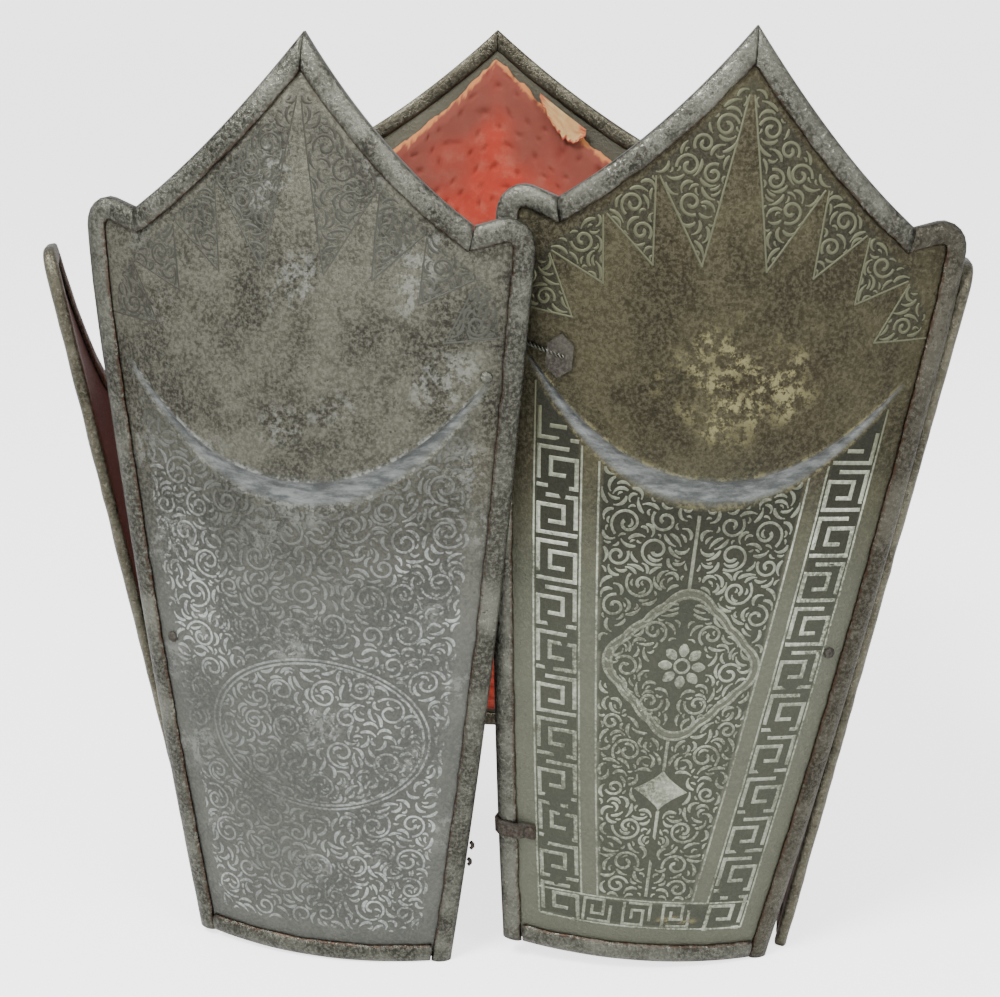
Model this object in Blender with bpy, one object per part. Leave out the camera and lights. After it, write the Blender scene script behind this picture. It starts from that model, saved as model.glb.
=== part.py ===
"""Five-plate steel cuirass: two fronts, two sides and a lined back, with edge strips and hinges.

Metres, +Z up. The front plates face -Y, and the cuirass stands on its lower strips at z = 0.
A plate is a bent sheet with developed coordinates: a runs across the metal from the plate's
middle line, t runs up from its lower edge, and n is the distance outside its middle surface.
Near a side edge, s is the distance from that edge into the sheet.
"""

import math
from dataclasses import dataclass, replace

import bmesh
import bpy
from mathutils import Matrix, Vector

# Sheet metal and clearance
SHEET = 0.0016
GAP = 0.0004

# Edge strips: a channel that clasps the rim of each plate
STRIP_REACH = 0.0076
STRIP_CROWN = 0.0021
STRIP_BACK = 0.0014
STRIP_OUT = 0.0019
SLOT_HALF = SHEET / 2 + GAP
# Rows of its section: share of the reach, outer (1) or inner (-1) face, share of that face's crown
STRIP_FACES = (
    (1.00, 1, 0.00), (1.00, 1, 0.35), (0.62, 1, 1.00), (0.12, 1, 1.00),
    (0.12, -1, 1.00), (0.78, -1, 1.00), (0.90, -1, 0.00),
)

# Front plates
FRONT_HALF_BOTTOM = 0.0625
FRONT_HALF_TOP = 0.0968
FRONT_SHOULDER = 0.3522
FRONT_NOTCH_HALF = 0.0728
FRONT_NOTCH = 0.3486
FRONT_APEX = 0.4200
FRONT_TIP_BACK = 0.0211
FRONT_TURN_BOTTOM = 0.377
FRONT_TURN_TOP = 0.313

# Back plate
BACK_HALF_BOTTOM = 0.0816
BACK_HALF_TOP = 0.1350
BACK_SHOULDER = 0.3522
BACK_NOTCH_HALF = 0.1050
BACK_NOTCH = 0.3490
BACK_APEX = 0.4200
BACK_TURN_BOTTOM = 0.349
BACK_TURN_TOP = 0.314

# Side plates
SIDE_HALF_BOTTOM = 0.1204
SIDE_HALF_TOP = 0.1300
SIDE_HORN = 0.3350
SIDE_HORN_WIDTH = 0.0200
ARMHOLE_DEPTH = 0.0900
SIDE_TURN_BOTTOM = 0.454
SIDE_TURN_TOP = 0.419

# Shared outline
SWELL = 0.0034
CORNER_RADIUS = 0.0110
HORN_RADIUS = 0.0090
OGEE_HOLLOW = 0.30
TIP_START = 0.300

# Raised breast with its crescent lip, on the front plates
LIP_HEIGHT = 0.2415
LIP_RISE = 0.0500
LIP_BAND = 0.0105
LIP_PROUD = 0.0045
LIP_SPAN = 0.90
LIP_POWER = 2.2
PROUD_FADE = 0.85
BAND_POWER = 1.8
BAND_LEAST = 0.2

# Hinges between neighbouring plates
HINGE_HEIGHT = 0.1600
HINGE_LENGTH = 0.0220
LEAF = 0.0011
BORE = 0.0015
PIN = 0.0012
PIN_HEAD = 0.0020
PIN_HEAD_LENGTH = 0.0010
LEAF_END = 0.0175
LEAF_STEP = 0.0092
STEP_BEND = math.radians(45)
CURL_TURN = math.radians(290)
CURL_STEPS = 7
# Spaces between the plates' edges at their hinges
REAR_LEFT_SPACE = 0.0070
REAR_RIGHT_SPACE = 0.0072
FRONT_LEFT_SPACE = 0.0118
FRONT_RIGHT_SPACE = 0.0072
LEVEL_STEPS = 3

# Rivets
RIVET_INSET = 0.0135
RIVET_SHANK = 0.0013
RIVET_HEAD = 0.0027
RIVET_TAIL = 0.0019
RIVET_DOME = 0.0011
# Rows of the head, from its crown down: share of its radius, share of its height
DOME_ROWS = ((0.45, 1.0), (0.85, 0.6))
TAIL_TAPER = 0.7
ROUND_SIDES = 8
NOTCH_SIDES = 12

# Remains of the front clasps
CLASP_HEIGHT = 0.2870
CLASP_INSET = 0.0270
CLASP_LENGTH = 0.0190
CLASP_WIDTH = 0.0110
CLASP_SHEET = 0.0010
CLASP_RIVET_HEIGHT = 0.2890
# Its corners: share of the width, share of the length
CLASP_CORNERS = ((0, 0.5), (0.5, 0.26), (0.5, -0.26), (0, -0.5), (-0.5, -0.26), (-0.5, 0.26))
WIRE = 0.0008
WIRE_SIDES = 6
WIRE_END = 0.0128
WIRE_RISE = 0.0030
TAB_HEIGHT = 0.0590
TAB_WIDTH = 0.0075
TAB_LENGTH = 0.0160
TAB_SHEET = 0.0010
EYE_HEIGHTS = (0.0610, 0.0520)
EYE_WIRE = 0.0010
EYE_REACH = 0.0040
EYE_DEGREES = (-60, -20, 20, 60)

# Quilted lining of the back plate
LINING_INSET = 0.0095
LINING_TOP = 0.0114
LINING_THICK = 0.0042
LINING_GAP = 0.0009
FOLD_THICK = 0.0016
FOLD_MIDDLE = 0.0390
FOLD_WIDTH = 0.0270
FOLD_DEPTH = 0.0220
FOLD_DROP = 0.0014
# Columns of the fold: share of its width from its middle, share of its depth
FOLD_COLUMNS = ((-0.5, 0.10), (-0.15, 0.70), (0.15, 1.0), (0.5, 0.35))

# Shares of the half width for the columns of a sheet, and of a height for its rows
INNER_COLUMNS = (0, 0.22, 0.44, 0.66, 0.84, 1)
CORNER_DEGREES = (30, 60, 90)
PLAIN_ROWS = (0, 0.2, 0.4, 0.6, 0.8, 1)
BELOW_LIP = (0, 0.4, 0.75, 1)
ABOVE_LIP = (0.12, 0.32, 0.55, 0.75, 0.87, 0.95, 1)
STRAIGHT_SHARES = (0, 0.35, 0.7, 1)
BENT_SHARES = (0, 0.3, 0.6, 0.86, 0.93, 1)
SMOOTH_ANGLE = math.radians(35)


def strip_section():
    """Channel section as pairs (s, n): outside round the edge, then the slot of the sheet."""
    crowns = {1: STRIP_CROWN, -1: STRIP_BACK}
    faces = {side: [(STRIP_REACH * reach, side * (SLOT_HALF + crowns[side] * share))
                    for reach, face, share in STRIP_FACES if face == side] for side in crowns}
    nose = [(-STRIP_OUT, SLOT_HALF), (-STRIP_OUT, -SLOT_HALF)]
    return faces[1] + nose + faces[-1] + [(-GAP, -SLOT_HALF), (-GAP, SLOT_HALF)]


@dataclass(frozen=True)
class Plate:
    """A bent sheet: developed sizes, how far it turns from middle to side, and its place."""
    name: str
    half_bottom: float
    half_top: float
    swell: float
    shoulder: float
    notch_half: float
    notch: float
    apex: float
    tip_back: float
    turn_bottom: float
    turn_top: float
    corner: float
    raised: bool
    x: float
    y: float
    heading: float
    roll: float
    lean: float

    def half(self, t):
        """Developed half width at height t, with the side edges bowed out a little."""
        share = min(t / self.shoulder, 1.0)
        bow = 4 * self.swell * max(share, 0.0) * (1 - share)
        return self.half_bottom + (self.half_top - self.half_bottom) * share + bow

    def turn(self, t):
        """Angle through which the sheet bends between its middle and its side edge."""
        return self.turn_bottom + (self.turn_top - self.turn_bottom) * t / self.shoulder

    def point(self, a, t, n=0.0):
        """Local position of a point of the sheet, n outside its middle surface."""
        radius = self.half(t) / self.turn(t)
        angle = a / radius
        outward = (radius + n) * math.cos(angle) - radius * math.cos(self.turn(t))
        rise = max(t - TIP_START, 0.0) / (FRONT_APEX - TIP_START)
        return Vector(((radius + n) * math.sin(angle), self.tip_back * rise ** 2 - outward, t))

    def top(self, across):
        """Height of the top edge at a distance from the middle, measured at shoulder width."""
        run = across - (self.half_top - self.corner)
        if run > 0:
            return self.shoulder - self.corner + math.sqrt(max(self.corner ** 2 - run ** 2, 0.0))
        if across > self.notch_half:
            share = (across - self.notch_half) / (self.half_top - self.corner - self.notch_half)
            return self.notch + (self.shoulder - self.notch) * share
        if self.apex < self.notch:
            return self.notch - (self.notch - self.apex) * (1 - (across / self.notch_half) ** 3)
        share = 1 - across / self.notch_half
        return self.notch + (self.apex - self.notch) * share * (1 - OGEE_HOLLOW * (1 - share))

    def stations(self):
        """Distances from the middle to the columns of the sheet, at shoulder width."""
        edge = self.half_top - self.corner
        right = [share * self.notch_half for share in INNER_COLUMNS] + [edge]
        right += [edge + self.corner * math.sin(math.radians(d)) for d in CORNER_DEGREES]
        return [-across for across in reversed(right[1:])] + right

    def top_point(self, across):
        """Developed position of the top edge at a station."""
        t = self.top(abs(across))
        return across / self.half_top * self.half(t), t

    def placement(self):
        """Roll in the sheet's own plane, lean, heading about Z, then feet down on z = 0."""
        spin = (Matrix.Rotation(self.heading, 4, "Z") @ Matrix.Rotation(self.lean, 4, "X")
                @ Matrix.Rotation(self.roll, 4, "Y"))
        feet = [self.point(u * self.half(0), -STRIP_OUT, n)
                for u in (-1, -0.5, 0, 0.5, 1) for n in (-SLOT_HALF, SLOT_HALF)]
        feet += [self.point(side * (self.half(-STRIP_OUT) - s), GAP / 2 - STRIP_OUT, n)
                 for side in (-1, 1) for s, n in strip_section()]
        lift = -min((spin @ foot).z for foot in feet)
        return Matrix.Translation((self.x, self.y, lift)) @ spin


def front_plate(name, heading, roll, lean):
    """A front plate at the middle of the cuirass, angles in degrees."""
    return Plate(name, FRONT_HALF_BOTTOM, FRONT_HALF_TOP, SWELL, FRONT_SHOULDER,
                 FRONT_NOTCH_HALF, FRONT_NOTCH, FRONT_APEX, FRONT_TIP_BACK,
                 FRONT_TURN_BOTTOM, FRONT_TURN_TOP, CORNER_RADIUS, True,
                 0.0, 0.0, math.radians(heading), math.radians(roll), math.radians(lean))


def side_plate(name, heading, roll, lean):
    """A side plate at the middle of the cuirass, angles in degrees."""
    return Plate(name, SIDE_HALF_BOTTOM, SIDE_HALF_TOP, 0.0, SIDE_HORN,
                 SIDE_HALF_TOP - SIDE_HORN_WIDTH, SIDE_HORN, SIDE_HORN - ARMHOLE_DEPTH, 0.0,
                 SIDE_TURN_BOTTOM, SIDE_TURN_TOP, HORN_RADIUS, False,
                 0.0, 0.0, math.radians(heading), math.radians(roll), math.radians(lean))


def edge_point(plate, side, t, s=0.0, n=0.0):
    """World position at a side edge of a plate: s into the sheet, n outside it."""
    return plate.placement() @ plate.point(side * (plate.half(t) - s), t, n)


def beside(plate, side, neighbour, neighbour_side, space):
    """The plate with its edge a hinge's space away from its neighbour's edge."""
    t = HINGE_HEIGHT
    here = edge_point(neighbour, neighbour_side, t)
    for _ in range(LEVEL_STEPS):
        t += here.z - edge_point(plate, side, t).z
    there = edge_point(plate, side, t)
    apart = here - edge_point(neighbour, neighbour_side, HINGE_HEIGHT, s=SHEET)
    apart -= there - edge_point(plate, side, t, s=SHEET)
    apart.z = 0
    move = here + apart.normalized() * space - there
    return replace(plate, x=plate.x + move.x, y=plate.y + move.y)


LEFT, RIGHT = -1, 1
BACK = Plate("back", BACK_HALF_BOTTOM, BACK_HALF_TOP, SWELL, BACK_SHOULDER,
             BACK_NOTCH_HALF, BACK_NOTCH, BACK_APEX, 0.0,
             BACK_TURN_BOTTOM, BACK_TURN_TOP, CORNER_RADIUS, False,
             -0.0039, 0.0876, math.radians(172.38), 0.0, 0.0)
SIDE_LEFT = beside(side_plate("side_left", -102.27, 2.42, 8.50), LEFT, BACK, RIGHT,
                   REAR_LEFT_SPACE)
SIDE_RIGHT = beside(side_plate("side_right", 103.22, -4.74, 8.64), RIGHT, BACK, LEFT,
                    REAR_RIGHT_SPACE)
FRONT_LEFT = beside(front_plate("front_left", -12.17, 1.58, 3.80), LEFT, SIDE_LEFT, RIGHT,
                    FRONT_LEFT_SPACE)
FRONT_RIGHT = beside(front_plate("front_right", 0.27, 5.05, 3.65), RIGHT, SIDE_RIGHT, LEFT,
                     FRONT_RIGHT_SPACE)

# Finishes: name, colour, metallic, roughness
FINISHES = (
    ("grey_steel", (0.27, 0.27, 0.25), 0.9, 0.42),
    ("olive_steel", (0.20, 0.18, 0.12), 0.9, 0.46),
    ("brown_steel", (0.16, 0.11, 0.09), 0.8, 0.55),
    ("strip_steel", (0.24, 0.23, 0.21), 0.9, 0.45),
    ("iron", (0.14, 0.11, 0.09), 0.7, 0.60),
    ("red_cloth", (0.55, 0.08, 0.05), 0.0, 0.95),
    ("cream_cloth", (0.75, 0.58, 0.36), 0.0, 0.95),
)


def clear_scene():
    """Remove every object of the scene."""
    for item in list(bpy.data.objects):
        bpy.data.objects.remove(item, do_unlink=True)


def finish(name):
    """The material of a finish, made once."""
    if name in bpy.data.materials:
        return bpy.data.materials[name]
    colour, metallic, roughness = next(row[1:] for row in FINISHES if row[0] == name)
    material = bpy.data.materials.new(name)
    material.use_nodes = True
    shader = material.node_tree.nodes["Principled BSDF"]
    shader.inputs["Base Color"].default_value = (*colour, 1.0)
    shader.inputs["Metallic"].default_value = metallic
    shader.inputs["Roughness"].default_value = roughness
    return material


def piece(name, vertices, faces, placement, finish_name):
    """A closed mesh object with outward faces, placed in the world."""
    mesh = bpy.data.meshes.new(name)
    mesh.from_pydata([tuple(v) for v in vertices], [], faces)
    work = bmesh.new()
    work.from_mesh(mesh)
    bmesh.ops.recalc_face_normals(work, faces=work.faces)
    work.to_mesh(mesh)
    work.free()
    mesh.shade_smooth()
    mesh.set_sharp_from_angle(angle=SMOOTH_ANGLE)
    mesh.materials.append(finish(finish_name))
    item = bpy.data.objects.new(name, mesh)
    item.matrix_world = placement
    bpy.context.collection.objects.link(item)
    return item


def loft_mesh(rings):
    """Vertices and faces of a closed body through rings of equal length."""
    size = len(rings[0])
    vertices = [point for ring in rings for point in ring]
    faces = [tuple(range(size)), tuple(range((len(rings) - 1) * size, len(rings) * size))]
    for row in range(len(rings) - 1):
        for i in range(size):
            j = (i + 1) % size
            low = row * size
            faces.append((low + i, low + j, low + size + j, low + size + i))
    return vertices, faces


def loft(name, rings, placement, finish_name):
    """A closed body through rings of equal length."""
    return piece(name, *loft_mesh(rings), placement, finish_name)


# Sheets


def lip_height(u):
    """Height of the crescent lip at a share of the half width."""
    return LIP_HEIGHT + LIP_RISE * min(abs(u) / LIP_SPAN, 1.0) ** LIP_POWER


def lip_fade(u):
    """How much of the raised form is left at a share of the half width."""
    return max(1 - (u / LIP_SPAN) ** 2, 0.0)


def lip_foot(u):
    """Height of the foot of the hollow band under the lip."""
    return lip_height(u) - LIP_BAND * max(lip_fade(u), BAND_LEAST)


def proud(u, t, top):
    """How far the raised breast stands out: a hollow band up to the lip, then a slow fade."""
    lip, foot = lip_height(u), lip_foot(u)
    if t <= foot:
        return 0.0
    if t <= lip:
        return LIP_PROUD * lip_fade(u) * ((t - foot) / (lip - foot)) ** BAND_POWER
    share = min((t - lip) / (top - lip) / PROUD_FADE, 1.0)
    return LIP_PROUD * lip_fade(u) * (1 - share) ** 2 * (1 + 2 * share)


def row_heights(plate, u, top):
    """Heights of the rows of a sheet in one column."""
    if not plate.raised:
        return [share * top for share in PLAIN_ROWS]
    lip, foot = lip_height(u), lip_foot(u)
    above = [lip + share * (top - lip) for share in ABOVE_LIP]
    return [share * foot for share in BELOW_LIP] + [(foot + lip) / 2, lip] + above


def sheet_columns(plate, low, side, high):
    """Developed grid of a sheet set in from its plate's bottom, sides and top.

    Each column lists its points (a, t, how far they stand proud).
    """
    columns = []
    for across in plate.stations():
        a_top, top = plate.top_point(across)
        u = across / plate.half_top
        column = []
        for t in row_heights(plate, u, top):
            raised = proud(u, t, top) if plate.raised else 0.0
            t_in = low + t * (top - low - high) / top
            column.append((u * (plate.half(t_in) - side), t_in, raised))
        columns.append(column)
    return columns


def sheet(name, plate, insets, outer, inner, finish_name):
    """Closed bent sheet between two distances from the plate's middle surface."""
    columns = sheet_columns(plate, *insets)
    rows = len(columns[0])
    layers = [[plate.point(a, t, n + raised) for column in columns for a, t, raised in column]
              for n in (outer, inner)]
    count = len(columns) * rows

    def index(column, row, layer):
        return layer * count + column * rows + row

    faces = []
    for c in range(len(columns) - 1):
        for r in range(rows - 1):
            for layer in (0, 1):
                faces.append((index(c, r, layer), index(c + 1, r, layer),
                              index(c + 1, r + 1, layer), index(c, r + 1, layer)))
        for r in (0, rows - 1):
            faces.append((index(c, r, 0), index(c + 1, r, 0), index(c + 1, r, 1), index(c, r, 1)))
    for r in range(rows - 1):
        for c in (0, len(columns) - 1):
            faces.append((index(c, r, 0), index(c, r + 1, 0), index(c, r + 1, 1), index(c, r, 1)))
    return piece(name, layers[0] + layers[1], faces, plate.placement(), finish_name)


# Edge strips


def mitres(path):
    """Inward mitre at each inner point of a developed path that has its sheet on the left."""
    result = []
    for before, here, after in zip(path, path[1:], path[2:]):
        one = Vector((here[0] - before[0], here[1] - before[1])).normalized()
        two = Vector((after[0] - here[0], after[1] - here[1])).normalized()
        normal = Vector((-one.y - two.y, one.x + two.x))
        result.append(normal / (1 + one.dot(two)))
    return result


def side_edge(plate):
    """Right side edge, from below the lower corner to the start of the rounded corner."""
    rise = plate.shoulder - plate.corner
    shares = BENT_SHARES if plate.tip_back else STRAIGHT_SHARES
    points = [(plate.half(share * rise), share * rise) for share in shares]
    return [(plate.half(-STRIP_OUT), -STRIP_OUT)] + points[1:]


def upper_edge(plate):
    """Top edge from the right corner's arc to the left corner's arc."""
    return [plate.top_point(across) for across in reversed(plate.stations())][1:-1]


def sweep(plate, path, directions):
    """Rings of the strip section along a developed path, ends drawn in by half a gap."""
    rings = []
    last = len(path) - 1
    for i, (point, direction) in enumerate(zip(path, directions)):
        near = path[1] if i == 0 else path[last - 1]
        along = Vector((near[0] - point[0], near[1] - point[1])).normalized()
        pull = along * GAP / 2 if i in (0, last) else Vector((0, 0))
        rings.append([plate.point(point[0] + pull.x + direction.x * s,
                                  point[1] + pull.y + direction.y * s, n)
                      for s, n in strip_section()])
    return rings


def mirrored(path, directions):
    """The same strip on the other side of the plate's middle line."""
    return ([(-a, t) for a, t in reversed(path)],
            [Vector((-d.x, d.y)) for d in reversed(directions)])


def strips(plate, finish_name):
    """The strips round one plate: two sides with their corners, the top and the bottom."""
    whole = side_edge(plate) + upper_edge(plate)
    whole += [(-plate.half(plate.shoulder - plate.corner), plate.shoulder - plate.corner)]
    inner = [Vector((-1, 0))] + mitres(whole)
    seam = whole.index(plate.top_point(plate.notch_half))
    middle = whole.index(plate.top_point(0))
    placed = plate.placement()
    runs = {"side": (whole[:seam + 1], inner[:seam + 1])}
    if plate.apex > plate.notch:
        runs["ogee"] = (whole[seam:middle + 1], inner[seam:middle + 1])
    made = []
    for label, run in runs.items():
        made.append(loft(f"{plate.name}_strip_{label}_right", sweep(plate, *run), placed,
                         finish_name))
        made.append(loft(f"{plate.name}_strip_{label}_left", sweep(plate, *mirrored(*run)),
                         placed, finish_name))
    if plate.apex < plate.notch:
        far = len(whole) - 1 - whole[::-1].index(plate.top_point(-plate.notch_half))
        made.append(loft(f"{plate.name}_strip_armhole",
                         sweep(plate, whole[seam:far + 1], inner[seam:far + 1]), placed,
                         finish_name))
    made.append(bottom_strip(plate, placed, finish_name))
    return made


def bottom_strip(plate, placed, finish_name):
    """The strip under the plate, butted between the two side strips."""
    end = plate.half(0) - STRIP_REACH - GAP
    columns = [across / plate.half_top * plate.half(0) for across in plate.stations()]
    path = [(-end, 0.0)] + [(a, 0.0) for a in columns if abs(a) < end - GAP] + [(end, 0.0)]
    slope = (plate.half_top - plate.half_bottom) / plate.shoulder
    directions = [Vector((-slope, 1))] + [Vector((0, 1))] * (len(path) - 2) + [Vector((slope, 1))]
    return loft(f"{plate.name}_strip_bottom", sweep(plate, path, directions), placed, finish_name)


# Hinges and rivets


def edge_line(plate, side, t):
    """Point and upward direction of a side edge in the world."""
    low = edge_point(plate, side, t - HINGE_LENGTH)
    high = edge_point(plate, side, t + HINGE_LENGTH)
    return edge_point(plate, side, t), (high - low).normalized()


def edge_frame(plate, side, t, axis):
    """Directions across the axis at a side edge: into the sheet and out of its face."""
    here = edge_point(plate, side, t)
    outward = edge_point(plate, side, t, n=SHEET) - here
    inward = edge_point(plate, side, t, s=SHEET) - here
    outward = (outward - axis * outward.dot(axis)).normalized()
    inward = inward - axis * inward.dot(axis)
    return (inward - outward * inward.dot(outward)).normalized(), outward


@dataclass(frozen=True)
class Hinge:
    """A hinge line between two plate edges."""
    name: str
    parent: Plate
    parent_side: int
    child: Plate
    child_side: int

    def heights(self):
        """Hinge height along each plate's own edge."""
        point, _ = edge_line(self.parent, self.parent_side, HINGE_HEIGHT)
        near, along = edge_line(self.child, self.child_side, HINGE_HEIGHT)
        return HINGE_HEIGHT, HINGE_HEIGHT + (point - near).dot(along)

    def axis(self):
        """Centre and direction of the pin, just inside both strips."""
        sides = ((self.parent, self.parent_side), (self.child, self.child_side))
        lines = [edge_line(*side, t) for side, t in zip(sides, self.heights())]
        middle = (lines[0][0] + lines[1][0]) / 2
        axis = (lines[0][1] + lines[1][1]).normalized()
        outs = [edge_frame(*side, t, axis)[1] for side, t in zip(sides, self.heights())]
        inward = -(outs[0] + outs[1]).normalized()
        clear = SLOT_HALF + STRIP_BACK + GAP + BORE + LEAF
        moves = [(clear + (middle - line[0]).dot(out)) / -inward.dot(out)
                 for line, out in zip(lines, outs)]
        return middle + inward * max(moves), axis


def leaf_section(plate, side, t, centre, axis, lift):
    """Outline of a rolled leaf at a height along the pin, in the world."""
    inward, outward = edge_frame(plate, side, t, axis)
    over = SLOT_HALF + STRIP_BACK + GAP
    pad = SLOT_HALF
    step = over - pad
    here = centre + axis * lift
    reach = edge_point(plate, side, t) + axis * (here - edge_point(plate, side, t)).dot(axis)
    level = t + (reach - edge_point(plate, side, t)).dot(edge_line(plate, side, t)[1])
    start = (here - reach).dot(inward) + BORE + LEAF

    def curl(radius, share):
        angle = CURL_TURN * share
        return here + radius * (outward * math.cos(angle) - inward * math.sin(angle))

    def tail(s, depth):
        return edge_point(plate, side, level, s, -depth)

    bend = LEAF * math.tan(STEP_BEND / 2)
    outer = [tail(LEAF_END, pad), tail(LEAF_STEP + step, pad), tail(LEAF_STEP, over),
             tail(start, over)]
    outer += [curl(BORE + LEAF, i / CURL_STEPS) for i in range(CURL_STEPS + 1)]
    inner = [curl(BORE, i / CURL_STEPS) for i in reversed(range(CURL_STEPS + 1))]
    inner += [tail(start, over + LEAF), tail(LEAF_STEP + bend, over + LEAF),
              tail(LEAF_STEP + step + bend, pad + LEAF), tail(LEAF_END, pad + LEAF)]
    return outer + inner


def turned(name, profile, base, axis, placement, finish_name, sides=ROUND_SIDES):
    """A turned piece: rows of (radius, distance along the axis), pointed or flat at its ends."""
    across = axis.orthogonal().normalized()
    other = axis.cross(across)
    rings = [[base + axis * along + radius * (across * math.cos(k * math.tau / sides)
                                               + other * math.sin(k * math.tau / sides))
              for k in range(sides)] for radius, along in profile]
    return loft(name, rings, placement, finish_name)


def cutter(name, base, axis, radius, low, high, placement, sides=ROUND_SIDES):
    """A guide cylinder that cuts holes and stays out of the model."""
    item = turned(name, ((radius, low), (radius, high)), base, axis, placement, "iron", sides)
    item.hide_render = True
    item.display_type = "WIRE"
    return item


def cut(item, tool):
    """Take the guide's volume out of a piece."""
    step = item.modifiers.new(tool.name, "BOOLEAN")
    step.operation = "DIFFERENCE"
    step.object = tool


def rivet(name, plate, side, t, inset, over, under, drilled):
    """A rivet through a plate and what it holds, with a hole cut for its shank."""
    base = plate.point(side * (plate.half(t) - inset), t)
    axis = (plate.point(side * (plate.half(t) - inset), t, SHEET) - base).normalized()
    placed = plate.placement()
    head, tail = over + GAP, -under - GAP
    profile = [(RIVET_HEAD * across, head + RIVET_DOME * up) for across, up in DOME_ROWS]
    profile += [(RIVET_HEAD, head), (RIVET_SHANK, head), (RIVET_SHANK, tail), (RIVET_TAIL, tail),
                (RIVET_TAIL * TAIL_TAPER, tail - RIVET_DOME * TAIL_TAPER)]
    tool = cutter(f"{name}_hole", base, axis, RIVET_SHANK + GAP,
                  tail - RIVET_DOME, head + RIVET_DOME, placed)
    for item in drilled:
        cut(item, tool)
    return turned(name, profile, base, axis, placed, "iron")


def hinge_leaf(name, hinge, plate, side, t, kept, sheet_item):
    """One leaf with the knuckle thirds it keeps, and its rivet."""
    centre, axis = hinge.axis()
    half = HINGE_LENGTH / 2
    back = plate.placement().inverted()
    rings = [[back @ point for point in leaf_section(plate, side, t, centre, axis, lift)]
             for lift in (-half, half)]
    leaf = loft(name, rings, plate.placement(), "iron")
    third = HINGE_LENGTH / 3
    for k in range(3):
        if k in kept:
            continue
        low = -half + k * third - (GAP / 2 if k else GAP)
        high = -half + (k + 1) * third + (GAP / 2 if k < 2 else GAP)
        tool = cutter(f"{name}_notch_{k}", centre, axis, BORE + LEAF + GAP, low, high,
                      Matrix.Identity(4), NOTCH_SIDES)
        cut(leaf, tool)
    stud = rivet(f"{name}_rivet", plate, side, t, RIVET_INSET, SHEET / 2, SLOT_HALF + LEAF,
                 (sheet_item, leaf))
    return [leaf, stud]


def hinge_pin(name, hinge):
    """The pin with a small head at each end."""
    centre, axis = hinge.axis()
    half = HINGE_LENGTH / 2 + GAP
    profile = ((PIN_HEAD, -half - PIN_HEAD_LENGTH), (PIN_HEAD, -half), (PIN, -half), (PIN, half),
               (PIN_HEAD, half), (PIN_HEAD, half + PIN_HEAD_LENGTH))
    return turned(name, profile, centre, axis, Matrix.Identity(4), "iron")


def build_hinge(hinge, sheets):
    """Leaves, rivets and pin of a hinge, as pieces of the parent and of the child plate."""
    t_parent, t_child = hinge.heights()
    parent = hinge_leaf(f"{hinge.name}_leaf_outer", hinge, hinge.parent, hinge.parent_side,
                        t_parent, (0, 2), sheets[hinge.parent.name])
    child = hinge_leaf(f"{hinge.name}_leaf_inner", hinge, hinge.child, hinge.child_side,
                       t_child, (1,), sheets[hinge.child.name])
    return parent + [hinge_pin(f"{hinge.name}_pin", hinge)], child


# Front clasp remains


def tube(name, plate, route, radius, finish_name):
    """A wire of WIRE_SIDES sides along developed points (a, t, n) of a plate."""
    points = [plate.point(a, t, n) for a, t, n in route]
    rings = []
    for i, point in enumerate(points):
        along = (points[min(i + 1, len(points) - 1)] - points[max(i - 1, 0)]).normalized()
        across = along.cross(Vector((0.31, 0.22, 0.92))).normalized()
        other = along.cross(across)
        rings.append([point + radius * (across * math.cos(k * math.tau / WIRE_SIDES)
                                        + other * math.sin(k * math.tau / WIRE_SIDES))
                      for k in range(WIRE_SIDES)])
    return loft(name, rings, plate.placement(), finish_name)


def clasp_seat(plate):
    """Corners of the upper clasp plate in developed coordinates, and the height of its back."""
    middle = -(plate.half(CLASP_HEIGHT) - CLASP_INSET)
    spots = [(middle + x * CLASP_WIDTH, CLASP_HEIGHT + y * CLASP_LENGTH)
             for x, y in CLASP_CORNERS]
    raised = [proud(a / plate.half(t), t, plate.top(abs(a))) for a, t in spots]
    return spots, SHEET / 2 + GAP + max(raised)


def clasp_plate(plate):
    """Pointed six-sided plate of the upper clasp, flat on the raised breast."""
    spots, back = clasp_seat(plate)
    rings = [[plate.point(a, t, n) for a, t in spots] for n in (back, back + CLASP_SHEET)]
    return loft("upper_clasp_plate", rings, plate.placement(), "iron")


def wire_tie(plate):
    """Wire that ties the upper clasp plate, over its face and off behind the other front."""
    on_clasp = clasp_seat(plate)[1] + CLASP_SHEET + GAP + WIRE
    edge = CLASP_INSET - CLASP_WIDTH / 2
    route = []
    for inset, share, drop in ((CLASP_INSET + CLASP_WIDTH / 4, 0, 0), (edge, 0.3, 0),
                               (edge - 4 * WIRE, 0.6, 0.6), (WIRE_END, 1, 1)):
        a, t = -(plate.half(CLASP_HEIGHT) - inset), CLASP_HEIGHT + share * WIRE_RISE
        seat = SHEET / 2 + proud(a / plate.half(t), t, plate.top(abs(a))) + GAP + WIRE
        route.append((a, t, on_clasp + (seat - on_clasp) * drop))
    return tube("upper_clasp_wire", plate, route, WIRE, "iron")


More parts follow.
